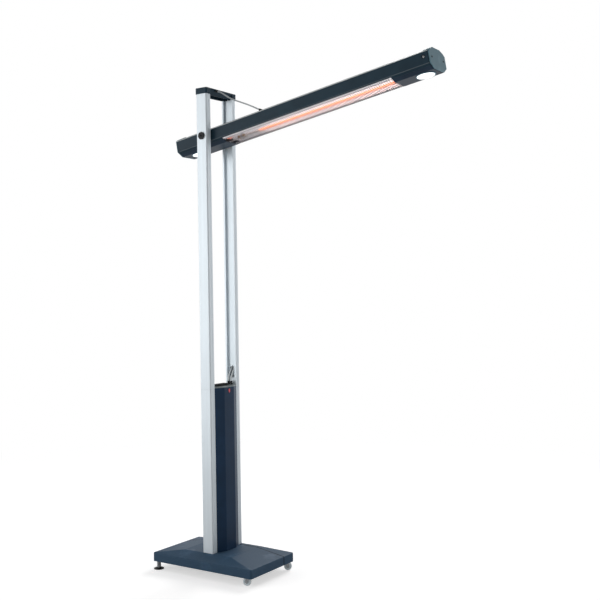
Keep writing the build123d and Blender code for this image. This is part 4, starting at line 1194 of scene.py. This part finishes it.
    def copy(self, matrix: Matrix = MODEL) -> "Workpiece":
        """A second piece with a mesh of its own.

        Args:
            matrix: how it is turned and shifted.

        Returns:
            The copy, closed.
        """
        piece = object.__new__(Workpiece)
        piece.body = hang(self.body.name, self.body.data.copy())
        piece.body.data.transform(matrix)
        return piece

    def set_down(
        self, place: Matrix, finish: Finishes, body: str, *nodes: str, angle: float = SMOOTH_ANGLE
    ) -> None:
        """Puts the closed piece where it belongs, with its finish, on its body.

        Args:
            place: from the bench's axes to the model's, in metres.
            finish: its finish.
            body: the body that carries it.
            nodes: the carried-over nodes that it stands for.
            angle: edges that turn by less are shaded smooth.
        """
        self.body.data.transform(place @ TO_METRES)
        if place.determinant() < 0:
            self.body.data.flip_normals()
        choose(self.body)
        bpy.ops.object.shade_smooth_by_angle(angle=angle)
        self.modify("WEIGHTED_NORMAL", keep_sharp=True, weight=80)
        coat(self.body, finish)
        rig.ride(self.body, body)
        if nodes:
            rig.replaces(self.body, *nodes)
        log.info("made %s: %d faces on %s", self.body.name, len(self.body.data.polygons), body)


def mirrored(half: Sequence[Pair]) -> list[Pair]:
    """A closed outline from its left half, given from the top down."""
    return [*half, *((-x, y) for x, y in reversed(half))]


# ----------------------------------------------------------------- sub-assemblies


@dataclass
class LeadToArm:
    """The grey lead that sags from the bridge to the gland on the arm, with both its ends."""

    radius: float = 0.0035
    length: float = 0.2533
    gland_u: float = 286.0
    boss_n: float = 46.5
    neck_n: float = 57.5
    neck_length: float = 0.014
    route: tuple[Point, ...] = (
        (0.038, -0.042, 2.330),
        (0.055, -0.038, 2.326),
        (0.073, -0.029, 2.312),
        (0.095, -0.018, 2.295),
        (0.124, -0.008, 2.281),
        (0.160, -0.003, 2.2665),
        (0.204, 0.0, 2.249),
    )
    grommet: Rings = (
        (3.5, -14), (5, -14), (5, 0), (6.6, 0.1), (6.9, 0.8), (6.6, 1.6),
        (5.4, 2.6), (4.9, 3.6), (4.5, 5.6), (4.2, 6.0), (3.5, 6.0),
    )
    boss: Rings = (
        (8.4, 0, 6), (8.4, 2.6, 6), (7.8, 3.2, 6), (6.9, 3.2), (6.9, 8.4), (6.5, 10.2), (5.2, 11.6),
        (3.2, 12.1), (0, 12.2),
    )
    neck: Rings = (
        (6.2, -5), (6.4, 0), (6.4, 2.0), (5.9, 2.4), (5.9, 3.6), (6.3, 4.0), (6.1, 5.6), (5.6, 6.0),
        (5.6, 7.2), (5.9, 7.6), (5.5, 10.2), (4.9, 13.2), (4.4, 14), (3.4, 14), (3.4, 12), (0, 12),
    )

    def neck_place(self) -> tuple[Vector, Vector]:
        """The foot of the arm gland's neck and the direction in which it points."""
        foot = on_arm(self.gland_u, 0, self.neck_n)
        return foot, (Vector(self.route[-1]) - foot).normalized()

    def tube(self, tip: Vector) -> tuple[bpy.types.Mesh, list[Point]]:
        """Draws the lead as a smooth tube.

        Args:
            tip: where it enters the gland.

        Returns:
            Its mesh, and the points of its centre line.
        """
        data = bpy.data.curves.new("lead line", "CURVE")
        data.dimensions = "3D"
        data.resolution_u = 10
        spline = data.splines.new("NURBS")
        points = [*self.route, tuple(tip)]
        spline.points.add(len(points) - 1)
        for knot, point in zip(spline.points, points):
            knot.co = (*point, 1.0)
        spline.order_u = 3
        spline.use_endpoint_u = True
        line = hang("lead line", data)
        bpy.context.view_layer.update()
        path = [tuple(v.co) for v in bpy.data.meshes.new_from_object(line).vertices]
        data.bevel_depth = self.radius
        data.bevel_resolution = 7
        data.use_fill_caps = True
        bpy.context.view_layer.update()
        mesh = bpy.data.meshes.new_from_object(line)
        bpy.data.objects.remove(line)
        return mesh, path

    def build(self) -> None:
        """Makes the lead, which bends between the stand and the arm."""
        foot, axis = self.neck_place()
        tip = foot + axis * self.neck_length
        mesh, path = self.tube(tip)
        mesh.name = "lead_to_arm"
        lead = hang("lead_to_arm", mesh)
        choose(lead)
        bpy.ops.object.mode_set(mode="EDIT")
        bpy.ops.mesh.select_all(action="SELECT")
        bpy.ops.mesh.remove_doubles(threshold=0.00001)
        bpy.ops.mesh.normals_make_consistent(inside=False)
        bpy.ops.object.mode_set(mode="OBJECT")
        bpy.ops.object.shade_smooth_by_angle(angle=math.radians(50))
        coat(lead, Finishes.SHEATH)
        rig.replaces(lead, "arm_lead")
        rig.cord(
            lead, exit=self.route[0], length=self.length, diameter=2 * self.radius,
            far_end="object", stiffness="medium", lay="hanging", path=path,
        )
        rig.blend(lead, "stand", "arm", start=self.route[0], end=tuple(tip))
        log.info("lead to the arm: %d points along its line", len(path))

    def ends(self) -> None:
        """Makes the grommet in the bridge and the gland on the arm."""
        start, after = (Vector(point) for point in self.route[:2])
        grommet = Workpiece.turned("bridge_lead_grommet", self.grommet, 32, looped=True)
        grommet.set_down(frame_of(start, after - start), Finishes.RUBBER, "stand", "bridge_grommet")
        boss_place = frame_of(on_arm(self.gland_u, 0, self.boss_n), UP_FROM_ARM, ALONG_ARM)
        gland = Workpiece.gathered(
            "arm_lead_gland",
            (Workpiece.turned("boss", self.boss), boss_place),
            (Workpiece.turned("neck", self.neck), frame_of(*self.neck_place())),
        )
        gland.set_down(MODEL, Finishes.BLACK, "arm", "arm_gland")


@dataclass
class BaseCover:
    """The moulded cover of the base: upright rim, four slopes and a flat top, in two parts."""

    length: float = 600.0
    width: float = 350.0
    clearance: float = 40.0
    skirt: float = 42.0
    rise: float = 24.0
    flat_length: float = 280.0
    flat_width: float = 233.0
    wall: float = 3.0
    corner: float = 8.0
    rim_round: float = 2.4
    top_round: float = 5.0
    seam_y: float = 91.0
    seam_gap: float = 3.0
    mast_hole: Pair = (64.0, 31.0)
    mast_y: float = 100.0
    well_height: float = 200.0
    well_middle: float = 80.0
    crease: float = math.radians(15)

    def shell(self, name: str, keep: int) -> Workpiece:
        """One part of the cover.

        Args:
            name: the piece's name.
            keep: -1 for what lies right of the seam, 1 for what lies left of it.

        Returns:
            The piece, closed.
        """
        middle, rim = self.clearance + self.skirt / 2, self.clearance + self.skirt
        cover = Workpiece.block(name, (self.length, self.width, self.skirt), (0, 0, middle))
        cover.pick_faces()
        cover.extrude((0, 0, self.rise))
        cover.scale(self.flat_length / self.length, self.flat_width / self.width)
        cover.pick_faces(-1)
        bpy.ops.mesh.delete(type="FACE")
        cover.pick_edges(lambda a, b: abs(a.z - b.z) > self.skirt * 0.9 and abs(a.x - b.x) < 1)
        cover.ease(self.corner, 9)
        cover.pick_edges(lambda a, b: abs(a.z - rim) < 0.1 and abs(b.z - rim) < 0.1)
        cover.ease(self.rim_round, 7)
        cover.pick_edges(lambda a, b: min(a.z, b.z) > rim + self.rise - 0.1)
        cover.ease(self.top_round, 3)
        bpy.ops.mesh.select_all(action="SELECT")
        bpy.ops.mesh.bisect(
            plane_co=(0, self.seam_y + keep * self.seam_gap / 2, 0), plane_no=(0, 1, 0),
            clear_inner=keep > 0, clear_outer=keep < 0,
        )
        cover.close()
        cover.modify("SOLIDIFY", thickness=self.wall, offset=-1.0)
        size = (*self.mast_hole, self.well_height)
        for side in (-1, 1):
            well = Workpiece.block("well", size, (0, side * self.mast_y, self.well_middle))
            well.close()
            cover.modify("BOOLEAN", operation="DIFFERENCE", object=well.body, solver="EXACT")
            bpy.data.objects.remove(well.body)
        return cover

    def build(self) -> None:
        """Makes the main cover and the side cover."""
        for name, keep in (("base_cover_main", -1), ("base_cover_side", 1)):
            cover = self.shell(f"{name}_moulding", keep)
            cover.set_down(MODEL, Finishes.COVER, "stand", name, angle=self.crease)


@dataclass
class Castors:
    """The wheels of the two swivel castors as they stand, with tread and hub."""

    radius: float = 19.0
    trail: float = 13.0
    place: Pair = (270.0, 145.0)
    headings: tuple[tuple[str, int, float], ...] = (("right", -1, 195.0), ("left", 1, 35.0))
    half_tyre: Rings = (
        (4.1, -8.5), (6.6, -8.5), (7.2, -7.9), (7.6, -6.4), (12.2, -6.0), (12.8, -7.6), (13.6, -8.3),
        (15.6, -8.5), (17.4, -7.7), (18.6, -6.0), (19.0, -4.0),
    )

    def build(self) -> None:
        """Makes each wheel on its own axle."""
        outline = [*self.half_tyre, *((radius, -height) for radius, height in reversed(self.half_tyre))]
        first = Workpiece.turned("castor_right_tyre", outline, 48, looped=True)
        for (name, side, heading), wheel in zip(self.headings, (first, first.copy())):
            turn = math.radians(heading)
            ahead = Vector((math.cos(turn), math.sin(turn), 0))
            axle = Vector((-math.sin(turn), math.cos(turn), 0))
            hub = Vector((self.place[0], side * self.place[1], self.radius)) + ahead * self.trail
            wheel.body.name = f"castor_{name}_tyre"
            wheel.set_down(
                frame_of(hub * MM, axle, ahead), Finishes.TREAD, f"wheel_{name}", f"castor_{name}_wheel"
            )


@dataclass
class LevellingFeet:
    """Two levelling feet: a round pad with a socket, and a threaded stem with a spanner hexagon."""

    place: Pair = (-280.0, 155.0)
    stem_radius: float = 10.0
    root_radius: float = 9.25
    pitch: float = 2.5
    thread_start: float = 17.0
    stem_top: float = 72.0
    top_radius: float = 8.4
    pad: Rings = (
        (21, 0), (24.4, 0.2), (25, 1.0), (25, 3.4), (24.5, 4.1), (21, 5.0), (15.4, 6.4), (13.2, 7.4),
        (12.2, 8.8), (11.4, 9.0), (8.9, 9.0), (8.1, 8.4), (8.1, 4), (0, 4),
    )
    foot: Rings = (
        (7.6, 4.1), (8, 4.8), (8, 9), (11.2, 9.1, 6), (11.2, 16.4, 6), (10.4, 17, 6),
    )

    def stem(self) -> list[tuple[float, ...]]:
        """The stem's outline.

        Returns:
            Its rings, from its ball end to the top of its thread.
        """
        root, crest = self.root_radius, self.stem_radius
        rings = [*self.foot, (root, self.thread_start)]
        for turn in range(int((self.stem_top - self.thread_start) / self.pitch)):
            low = self.thread_start + turn * self.pitch
            rings += [(root, low + 0.5), (crest, low + 1.1), (crest, low + 1.6), (root, low + 2.2)]
        return [*rings, (self.top_radius, self.stem_top)]

    def build(self) -> None:
        """Makes both pads and both stems."""
        pad = Workpiece.turned("foot_right_base", self.pad, 64)
        stem = Workpiece.turned("foot_right_screw", self.stem(), 32)
        for name, side in (("left", 1), ("right", -1)):
            place = Matrix.Translation(Vector((self.place[0], side * self.place[1], 0)) * MM)
            for piece, role, node, finish in (
                (pad, "base", "pad", Finishes.BLACK), (stem, "screw", "stem", Finishes.ZINC),
            ):
                own = piece.copy() if side > 0 else piece
                own.body.name = f"foot_{name}_{role}"
                own.set_down(place, finish, f"foot_{name}", f"foot_{name}_{node}")


@dataclass
class EndCaps:
    """The two eight-sided end caps of the arm, each with a visor over its top and a plug inside."""

    visor_half: float = 71.0
    visor_height: float = 2.6
    visor_length: float = 26.0
    visor_gap: float = 0.3
    visor_overlap: float = 1.0
    visor_round: float = 0.8
    plate: float = 4.0
    plate_round: float = 1.3
    groove: tuple[Pair, ...] = ((5.0, 0.0), (0.8, -0.35))
    shadow: float = 2.5
    plug: float = 6.0
    plug_overlap: float = 0.5
    plug_round: float = 0.6
    plug_share: Pair = (0.95, 0.93)

    def visor_edge(self, height: float) -> tuple[Pair, Pair]:
        """A line along the visor, across one half of the arm.

        Args:
            height: how far it lies above the arm's crest and sloping shoulder.

        Returns:
            Its points above the crest and at the visor's end.
        """
        slope = (CREST[1] - SHOULDER[1]) / (SHOULDER[0] - CREST[0])
        end = CREST[1] - (self.visor_half - CREST[0]) * slope
        return (CREST[0], CREST[1] + height), (self.visor_half, end + height)

    def cap(self, name: str) -> Workpiece:
        """One cap on the bench, with its visor.

        Args:
            name: the piece's name.

        Returns:
            The piece, closed; its outer face looks along +Z and its plate's back is at Z 0.
        """
        top = self.visor_edge(self.visor_height)
        corners = (*top, self.visor_edge(0.0)[1], SHOULDER, WALL_FOOT, FLOOR)
        face = Workpiece.outlined(name, mirrored(corners), self.plate)
        face.pick_faces()
        face.sink(*self.groove)
        face.soften(self.plate_round, 3)
        strip_corners = (*top, *reversed(self.visor_edge(self.visor_gap)))
        depth = self.visor_length + self.visor_overlap
        strip = Workpiece.outlined("visor", mirrored(strip_corners), -depth)
        strip.soften(self.visor_round)
        strip.move(0, 0, self.visor_overlap)
        face.merge_in(strip)
        return face

    def gasket(self, name: str) -> Workpiece:
        """The plug between a cap's plate and the profile, black rubber put as painted shade in the gap.

        Args:
            name: the piece's name.

        Returns:
            The piece, closed, with the plate's back at Z 0.
        """
        wide, high = self.plug_share
        corners = [(x * wide, y * high) for x, y in (CREST, SHOULDER, WALL_FOOT, FLOOR)]
        plug = Workpiece.outlined(name, mirrored(corners), -self.shadow - self.plug)
        plug.soften(self.plug_round)
        plug.move(0, 0, self.plug_overlap)
        return plug

    def build(self) -> None:
        """Makes both caps."""
        places = {
            "outer": frame_of(on_arm(ARM_REACH - self.plate, 0, 0), ALONG_ARM, LEFT),
            "inner": frame_of(on_arm(self.plate - ARM_TAIL, 0, 0), -ALONG_ARM, -LEFT),
        }
        for end, place in places.items():
            node = f"arm_cap_{end}"
            self.cap(f"{node}_moulding").set_down(place, Finishes.CAP, "arm", node)
            # The plug is black as painted shade in the gap behind the cap's plate.
            self.gasket(f"{node}_gasket").set_down(place, Finishes.RUBBER, "arm")


@dataclass
class GrilleEdges:
    """The bright edge of the grille on each side, folded over the profile's lip, and its wires' ends."""

    start: float = 91.0
    end: float = 1013.0
    pitch: float = 11.0
    width: float = 8.0
    sheet: float = 0.7
    lift: float = 0.05
    wire: float = 2.2
    wire_height: float = 1.54
    wire_level: float = 0.66
    wire_round: float = 0.5
    overhang: float = 3.0
    inward: float = 2.0

    def build(self) -> None:
        """Makes both edges, each with a strip and a row of wire ends."""
        length = self.end - self.start
        run = (Vector(WALL_FOOT) - Vector(LIP)).normalized()
        for name, side in (("right", -1), ("left", 1)):
            strip = Workpiece.block(
                f"grille_edge_{name}", (length, self.width, self.sheet),
                (length / 2, self.width / 2, self.sheet / 2 + self.lift),
            )
            strip.close()
            bars = Workpiece.block(
                f"wire_ends_{name}", (self.wire, self.width + self.overhang, self.wire_height),
                (self.pitch / 2, self.width / 2 - self.inward, self.sheet + self.wire_level),
            )
            bars.soften(self.wire_round)
            bars.modify(
                "ARRAY", count=int(length / self.pitch), use_relative_offset=False,
                use_constant_offset=True, constant_offset_displace=(self.pitch, 0, 0),
            )
            across = LEFT * side * run.x + UP_FROM_ARM * run.y
            outward = LEFT * side * run.y - UP_FROM_ARM * run.x
            place = axes_at(on_arm(self.start, side * LIP[0], LIP[1]), ALONG_ARM, across, outward)
            strip.set_down(place, Finishes.FLANGE, "arm")
            bars.set_down(place, Finishes.ENDS, "arm")


@dataclass
class ArmScrews:
    """The screws of the end caps and the two deeper screws in the arm's side walls."""

    cap_place: Pair = (55.0, 3.0)
    side_inset: float = 28.0
    side_n: float = 7.0
    wall_inner: float = 76.5
    small: Rings = (
        (2.5, -5), (2.5, -0.6), (4.2, -0.5), (4.6, 0.2), (4.4, 0.8), (3.6, 1.3), (2.1, 1.4, 6),
        (1.9, -1.2, 6), (0, -1.4),
    )
    deep: Rings = (
        (10, -3.7), (10, -0.1), (7.9, -0.1), (7.9, 2.3), (7.5, 2.4), (7.3, -2.4), (5.5, -2.5),
        (5.5, -0.8), (4.7, 0), (3.0, 0.2, 6), (2.7, -1.8, 6), (0, -2.0),
    )
    head: Rings = (
        (4.9, -0.9), (4.9, 0.3), (4.2, 0.8), (3.2, 0.9), (2.9, -1.0, 6), (0, -1.1),
    )

    def build(self) -> None:
        """Makes the six screws as one piece, and bright heads in the two deeper ones."""
        small = Workpiece.turned("small screw", self.small, 24)
        deep = Workpiece.turned("deep screw", self.deep)
        across, above = self.cap_place
        ends = [
            frame_of(on_arm(face, side * across, above), ALONG_ARM * end, LEFT)
            for end, face in ((1, ARM_REACH), (-1, -ARM_TAIL)) for side in (-1, 1)
        ]
        walls = [
            frame_of(
                on_arm(ARM_REACH - self.side_inset, side * self.wall_inner, self.side_n),
                LEFT * side, ALONG_ARM,
            )
            for side in (-1, 1)
        ]
        screws = [*((small, place) for place in ends), *((deep, place) for place in walls)]
        screw_set = Workpiece.gathered("arm_screw_set", *screws)
        # The screws are black as painted shade: they stand for the dark holes that they sit in.
        screw_set.set_down(MODEL, Finishes.BLACK, "arm", "arm_screws")
        for number, place in enumerate(walls, 1):
            head = Workpiece.turned(f"side_screw_head_{number}", self.head, 24)
            head.set_down(place, Finishes.ZINC, "arm")


@dataclass
class Spots:
    """The two round lights under the arm's ends, each with a bezel and a frosted lens."""

    places: Pair = (-112.0, 1140.0)
    bezel: Rings = (
        (38.3, -1.9), (39.8, -1.9), (39.8, 0.05), (43.5, 0.05), (43.5, 1.5), (42.9, 2.6), (41.6, 3.0),
        (40.0, 2.8), (38.9, 2.0), (38.3, 0.8),
    )
    lens: Rings = (
        (37.9, -2.5), (37.9, 2.3), (37.3, 3.0), (35.6, 3.5), (34.9, 3.3), (34.2, 3.7), (30, 4.3),
        (22, 4.8), (12, 5.0), (0, 5.05),
    )

    def build(self) -> None:
        """Makes both bezels as one piece and both lenses as another."""
        places = [frame_of(on_arm(u, 0, FLOOR[1]), -UP_FROM_ARM, ALONG_ARM) for u in self.places]
        for name, outline, looped, finish, node in (
            ("spot_bezels", self.bezel, True, Finishes.CAP, "led_bezels"),
            ("spot_lenses", self.lens, False, Finishes.LENS, "led_lenses"),
        ):
            piece = Workpiece.turned(name, outline, 72, looped)
            pair = Workpiece.gathered(name, *((piece, place) for place in places))
            pair.set_down(MODEL, finish, "arm", node)


@dataclass
class LampCoil:
    """The wound heating wire inside the quartz tube, with its straight tails."""

    start: float = 263.0
    end: float = 1012.0
    tube_start: float = 176.0
    tube_end: float = 1096.0
    level: float = -32.0
    radius: float = 2.1
    wire: float = 0.4
    pitch: float = 3.4
    turn_steps: int = 12
    tail: float = 0.7
    tail_overlap: Pair = (0.5, 1.0)
    bead: float = 0.9
    bead_starts: Pair = (3.0, 2.4)

    def tails(self) -> Iterator[Workpiece]:
        """Both straight tails, from the coil to a bead at each end of the tube."""
        slope, bead = self.bead_starts
        for low, high in (
            (self.tube_start, self.start + self.tail_overlap[0]),
            (self.end - self.tail_overlap[1], self.tube_end),
        ):
            outline = ((self.tail, low), (self.tail, high - slope), (self.bead, high - bead), (0, high))
            yield Workpiece.turned("tail", outline, 12)

    def build(self) -> None:
        """Winds the wire with a screw modifier and adds its tails."""
        choose()
        bpy.ops.mesh.primitive_circle_add(
            vertices=6, radius=self.wire, location=(self.radius, 0, 0), rotation=(math.pi / 2, 0, 0)
        )
        bpy.ops.object.transform_apply(location=True, rotation=True)
        coil = Workpiece("lamp_heating_coil")
        bpy.ops.object.mode_set(mode="OBJECT")
        coil.modify(
            "SCREW", axis="Z", angle=2 * math.pi, screw_offset=self.pitch,
            iterations=int((self.end - self.start) / self.pitch),
            steps=self.turn_steps, render_steps=self.turn_steps, use_merge_vertices=True,
        )
        bpy.ops.object.mode_set(mode="EDIT")
        bpy.ops.mesh.select_all(action="SELECT")
        bpy.ops.mesh.fill_holes(sides=0)
        coil.close()
        coil.move(0, 0, self.start)
        coil.merge_in(*self.tails())
        place = frame_of(on_arm(0, 0, self.level), ALONG_ARM, LEFT)
        coil.set_down(place, Finishes.COIL, "arm", "lamp_filament")


@dataclass
class Pivot:
    """The two bolts that the arm turns on, with their wide round heads."""

    shank_start: float = 61.5
    head_start: float = 115.3
    head_height: float = 6.0

    def build(self) -> None:
        """Makes both bolts as one piece."""
        tip, low, face = self.shank_start, self.head_start, self.head_start + self.head_height
        outline = (
            (5.2, tip), (5.95, tip + 1), (5.95, low), (17.2, low), (18, low + 0.8), (18, face - 1.8),
            (17.3, face - 0.5), (16.2, face), (12.9, face), (12.5, face - 0.3), (12.3, face - 1.8),
            (8.2, face - 1.8), (7.9, face - 0.4), (7.4, face - 0.1), (5.6, face - 0.1, 6),
            (5.4, face - 0.6, 6), (5.2, face - 4, 6), (0, face - 4.4),
        )
        bolt = Workpiece.turned("pivot_bolt_pair", outline, 60)
        bolt.merge_in(bolt.copy(Matrix.Rotation(math.pi, 4, "X")))
        bolt.set_down(frame_of(PIVOT, LEFT, AHEAD), Finishes.BLACK, "arm", "pivot_bolts")


@dataclass
class BoxFittings:
    """The small parts on the electrics box: pilot light, lid pad and cable glands."""

    top: float = 902.0
    front: float = 54.0
    pilot_z: float = 880.0
    pilot_size: Pair = (10.0, 19.0)
    pilot_proud: float = 1.6
    pilot_depth: float = 2.5
    pilot_arc: int = 12
    pilot_steps: tuple[Pair, ...] = ((1.1, 0.0), (0.35, -0.5), (0.9, 0.25))
    pilot_round: float = 0.3
    gland_spacing: float = 17.0
    gland_y: float = 75.5
    pad_size: Point = (34.0, 90.0, 8.5)
    pad_corner: float = 3.0
    pad_steps: tuple[Pair, ...] = ((1.4, 0.8), (1.2, 0.0), (1.0, -1.2))
    pad_round: float = 0.4
    rib_size: Point = (25.0, 5.0, 1.6)
    rib_count: int = 7
    rib_pitch: float = 10.5
    rib_lift: float = 0.1
    rib_round: float = 0.6
    mains_z: float = 150.0
    lid_gland: Rings = (
        (3.1, -5), (6.4, -5), (6.4, 0), (7.4, 0, 6), (8, 0.5, 6), (8, 4.4, 6), (7.4, 5, 6), (6.3, 5),
        (6.3, 6.4), (5.8, 6.8), (5.8, 8), (6.4, 8.4), (6.4, 12.4), (5.9, 14.4), (5.0, 16.4), (4.4, 17),
        (3.1, 17),
    )
    mains_gland: Rings = (
        (5, -12), (8.4, -12), (8.4, 0), (11.2, 0, 6), (12, 0.8, 6), (12, 8, 6), (11.2, 8.8, 6),
        (9.5, 8.8), (9.5, 10.6), (8.8, 11.2), (8.8, 13), (9.6, 13.6), (9.6, 18.6), (8.6, 20.6),
        (7.0, 22), (5, 22),
    )

    def pilot(self) -> None:
        """Makes the plain upright pilot light."""
        half, rise = self.pilot_size[0] / 2, (self.pilot_size[1] - self.pilot_size[0]) / 2
        arc = [math.pi * step / self.pilot_arc for step in range(self.pilot_arc + 1)]
        outline = [(half * math.cos(a), rise + half * math.sin(a)) for a in arc]
        outline += [(-x, -y) for x, y in outline]
        lens = Workpiece.outlined("pilot_light", outline, self.pilot_depth + self.pilot_proud)
        lens.pick_faces()
        lens.sink(*self.pilot_steps)
        lens.soften(self.pilot_round)
        at = Vector((self.front - self.pilot_depth, 0, self.pilot_z)) * MM
        lens.set_down(frame_of(at, AHEAD, LEFT), Finishes.PILOT, "stand", "pilot_lens")

    def pad(self) -> None:
        """Makes the ribbed rubber pad on the lid."""
        height = self.pad_size[2]
        pad = Workpiece.block("lid_rubber_pad", self.pad_size, (0, 0, height / 2))
        pad.pick_edges(lambda a, b: abs(a.z - b.z) > 1)
        pad.ease(self.pad_corner, 4)
        pad.pick_faces()
        pad.sink(*self.pad_steps)
        pad.soften(self.pad_round)
        ribs = []
        for rib in range(self.rib_count):
            y = (rib - self.rib_count // 2) * self.rib_pitch
            ribs.append(Workpiece.block("rib", self.rib_size, (0, y, height + self.rib_lift)))
            ribs[-1].soften(self.rib_round)
        pad.merge_in(*ribs)
        place = Matrix.Translation((0, 0, self.top * MM))
        pad.set_down(place, Finishes.RUBBER, "stand", "lid_pad")

    def glands(self) -> None:
        """Makes the riser leads' two glands on the lid, and the mains lead's, low on the back."""
        gland = Workpiece.turned("lid_cable_glands", self.lid_gland, looped=True)
        gland.merge_in(gland.copy(Matrix.Translation((self.gland_spacing, 0, 0))))
        at = Vector((-self.gland_spacing / 2, self.gland_y, self.top)) * MM
        gland.set_down(Matrix.Translation(at), Finishes.BLACK, "stand", "box_glands")
        mains = Workpiece.turned("mains_entry_gland", self.mains_gland, 48, looped=True)
        at = Vector((-self.front, 0, self.mains_z)) * MM
        mains.set_down(frame_of(at, -AHEAD), Finishes.BLACK, "stand", "mains_gland")

    def build(self) -> None:
        """Makes every fitting of the box."""
        self.pilot()
        self.pad()
        self.glands()


@dataclass
class MastTrim:
    """The small pan-headed screw that shows in the far mast's channel."""

    place: Point = (1.0, 96.0, 992.0)
    outline: Rings = (
        (1.9, -2), (1.9, 0.05), (3.5, 0.05), (3.6, 0.9), (3.1, 1.7), (2.2, 2.1), (1.4, 2.15, 6),
        (1.3, 0.9, 6), (0, 0.8),
    )

    def build(self) -> None:
        """Makes the screw."""
        screw = Workpiece.turned("channel_screw_1", self.outline, 24)
        screw.set_down(frame_of(Vector(self.place) * MM, -LEFT), Finishes.ZINC, "stand")


def report_sizes() -> None:
    """Writes the box of the solids and that of the dressed model for comparison."""
    boxes = {
        "cad": [list(corner) for corner in CAD_BOX],
        "visual": [list(corner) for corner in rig.bounds()],
    }
    with open(SIZE_FILE, "w", encoding="utf-8") as file:
        json.dump(boxes, file)
    log.info("sizes %s", boxes)


def main() -> None:
    """Builds the heater's looks in order."""
    lead = LeadToArm()
    Studio().build()
    lead.build()
    dress_cad_nodes()
    lead.ends()
    for part in (
        BaseCover(), Castors(), LevellingFeet(), EndCaps(), GrilleEdges(), ArmScrews(), Spots(),
        LampCoil(), Pivot(), BoxFittings(), MastTrim(),
    ):
        part.build()
    report_sizes()


if __name__ == "__main__":
    main()
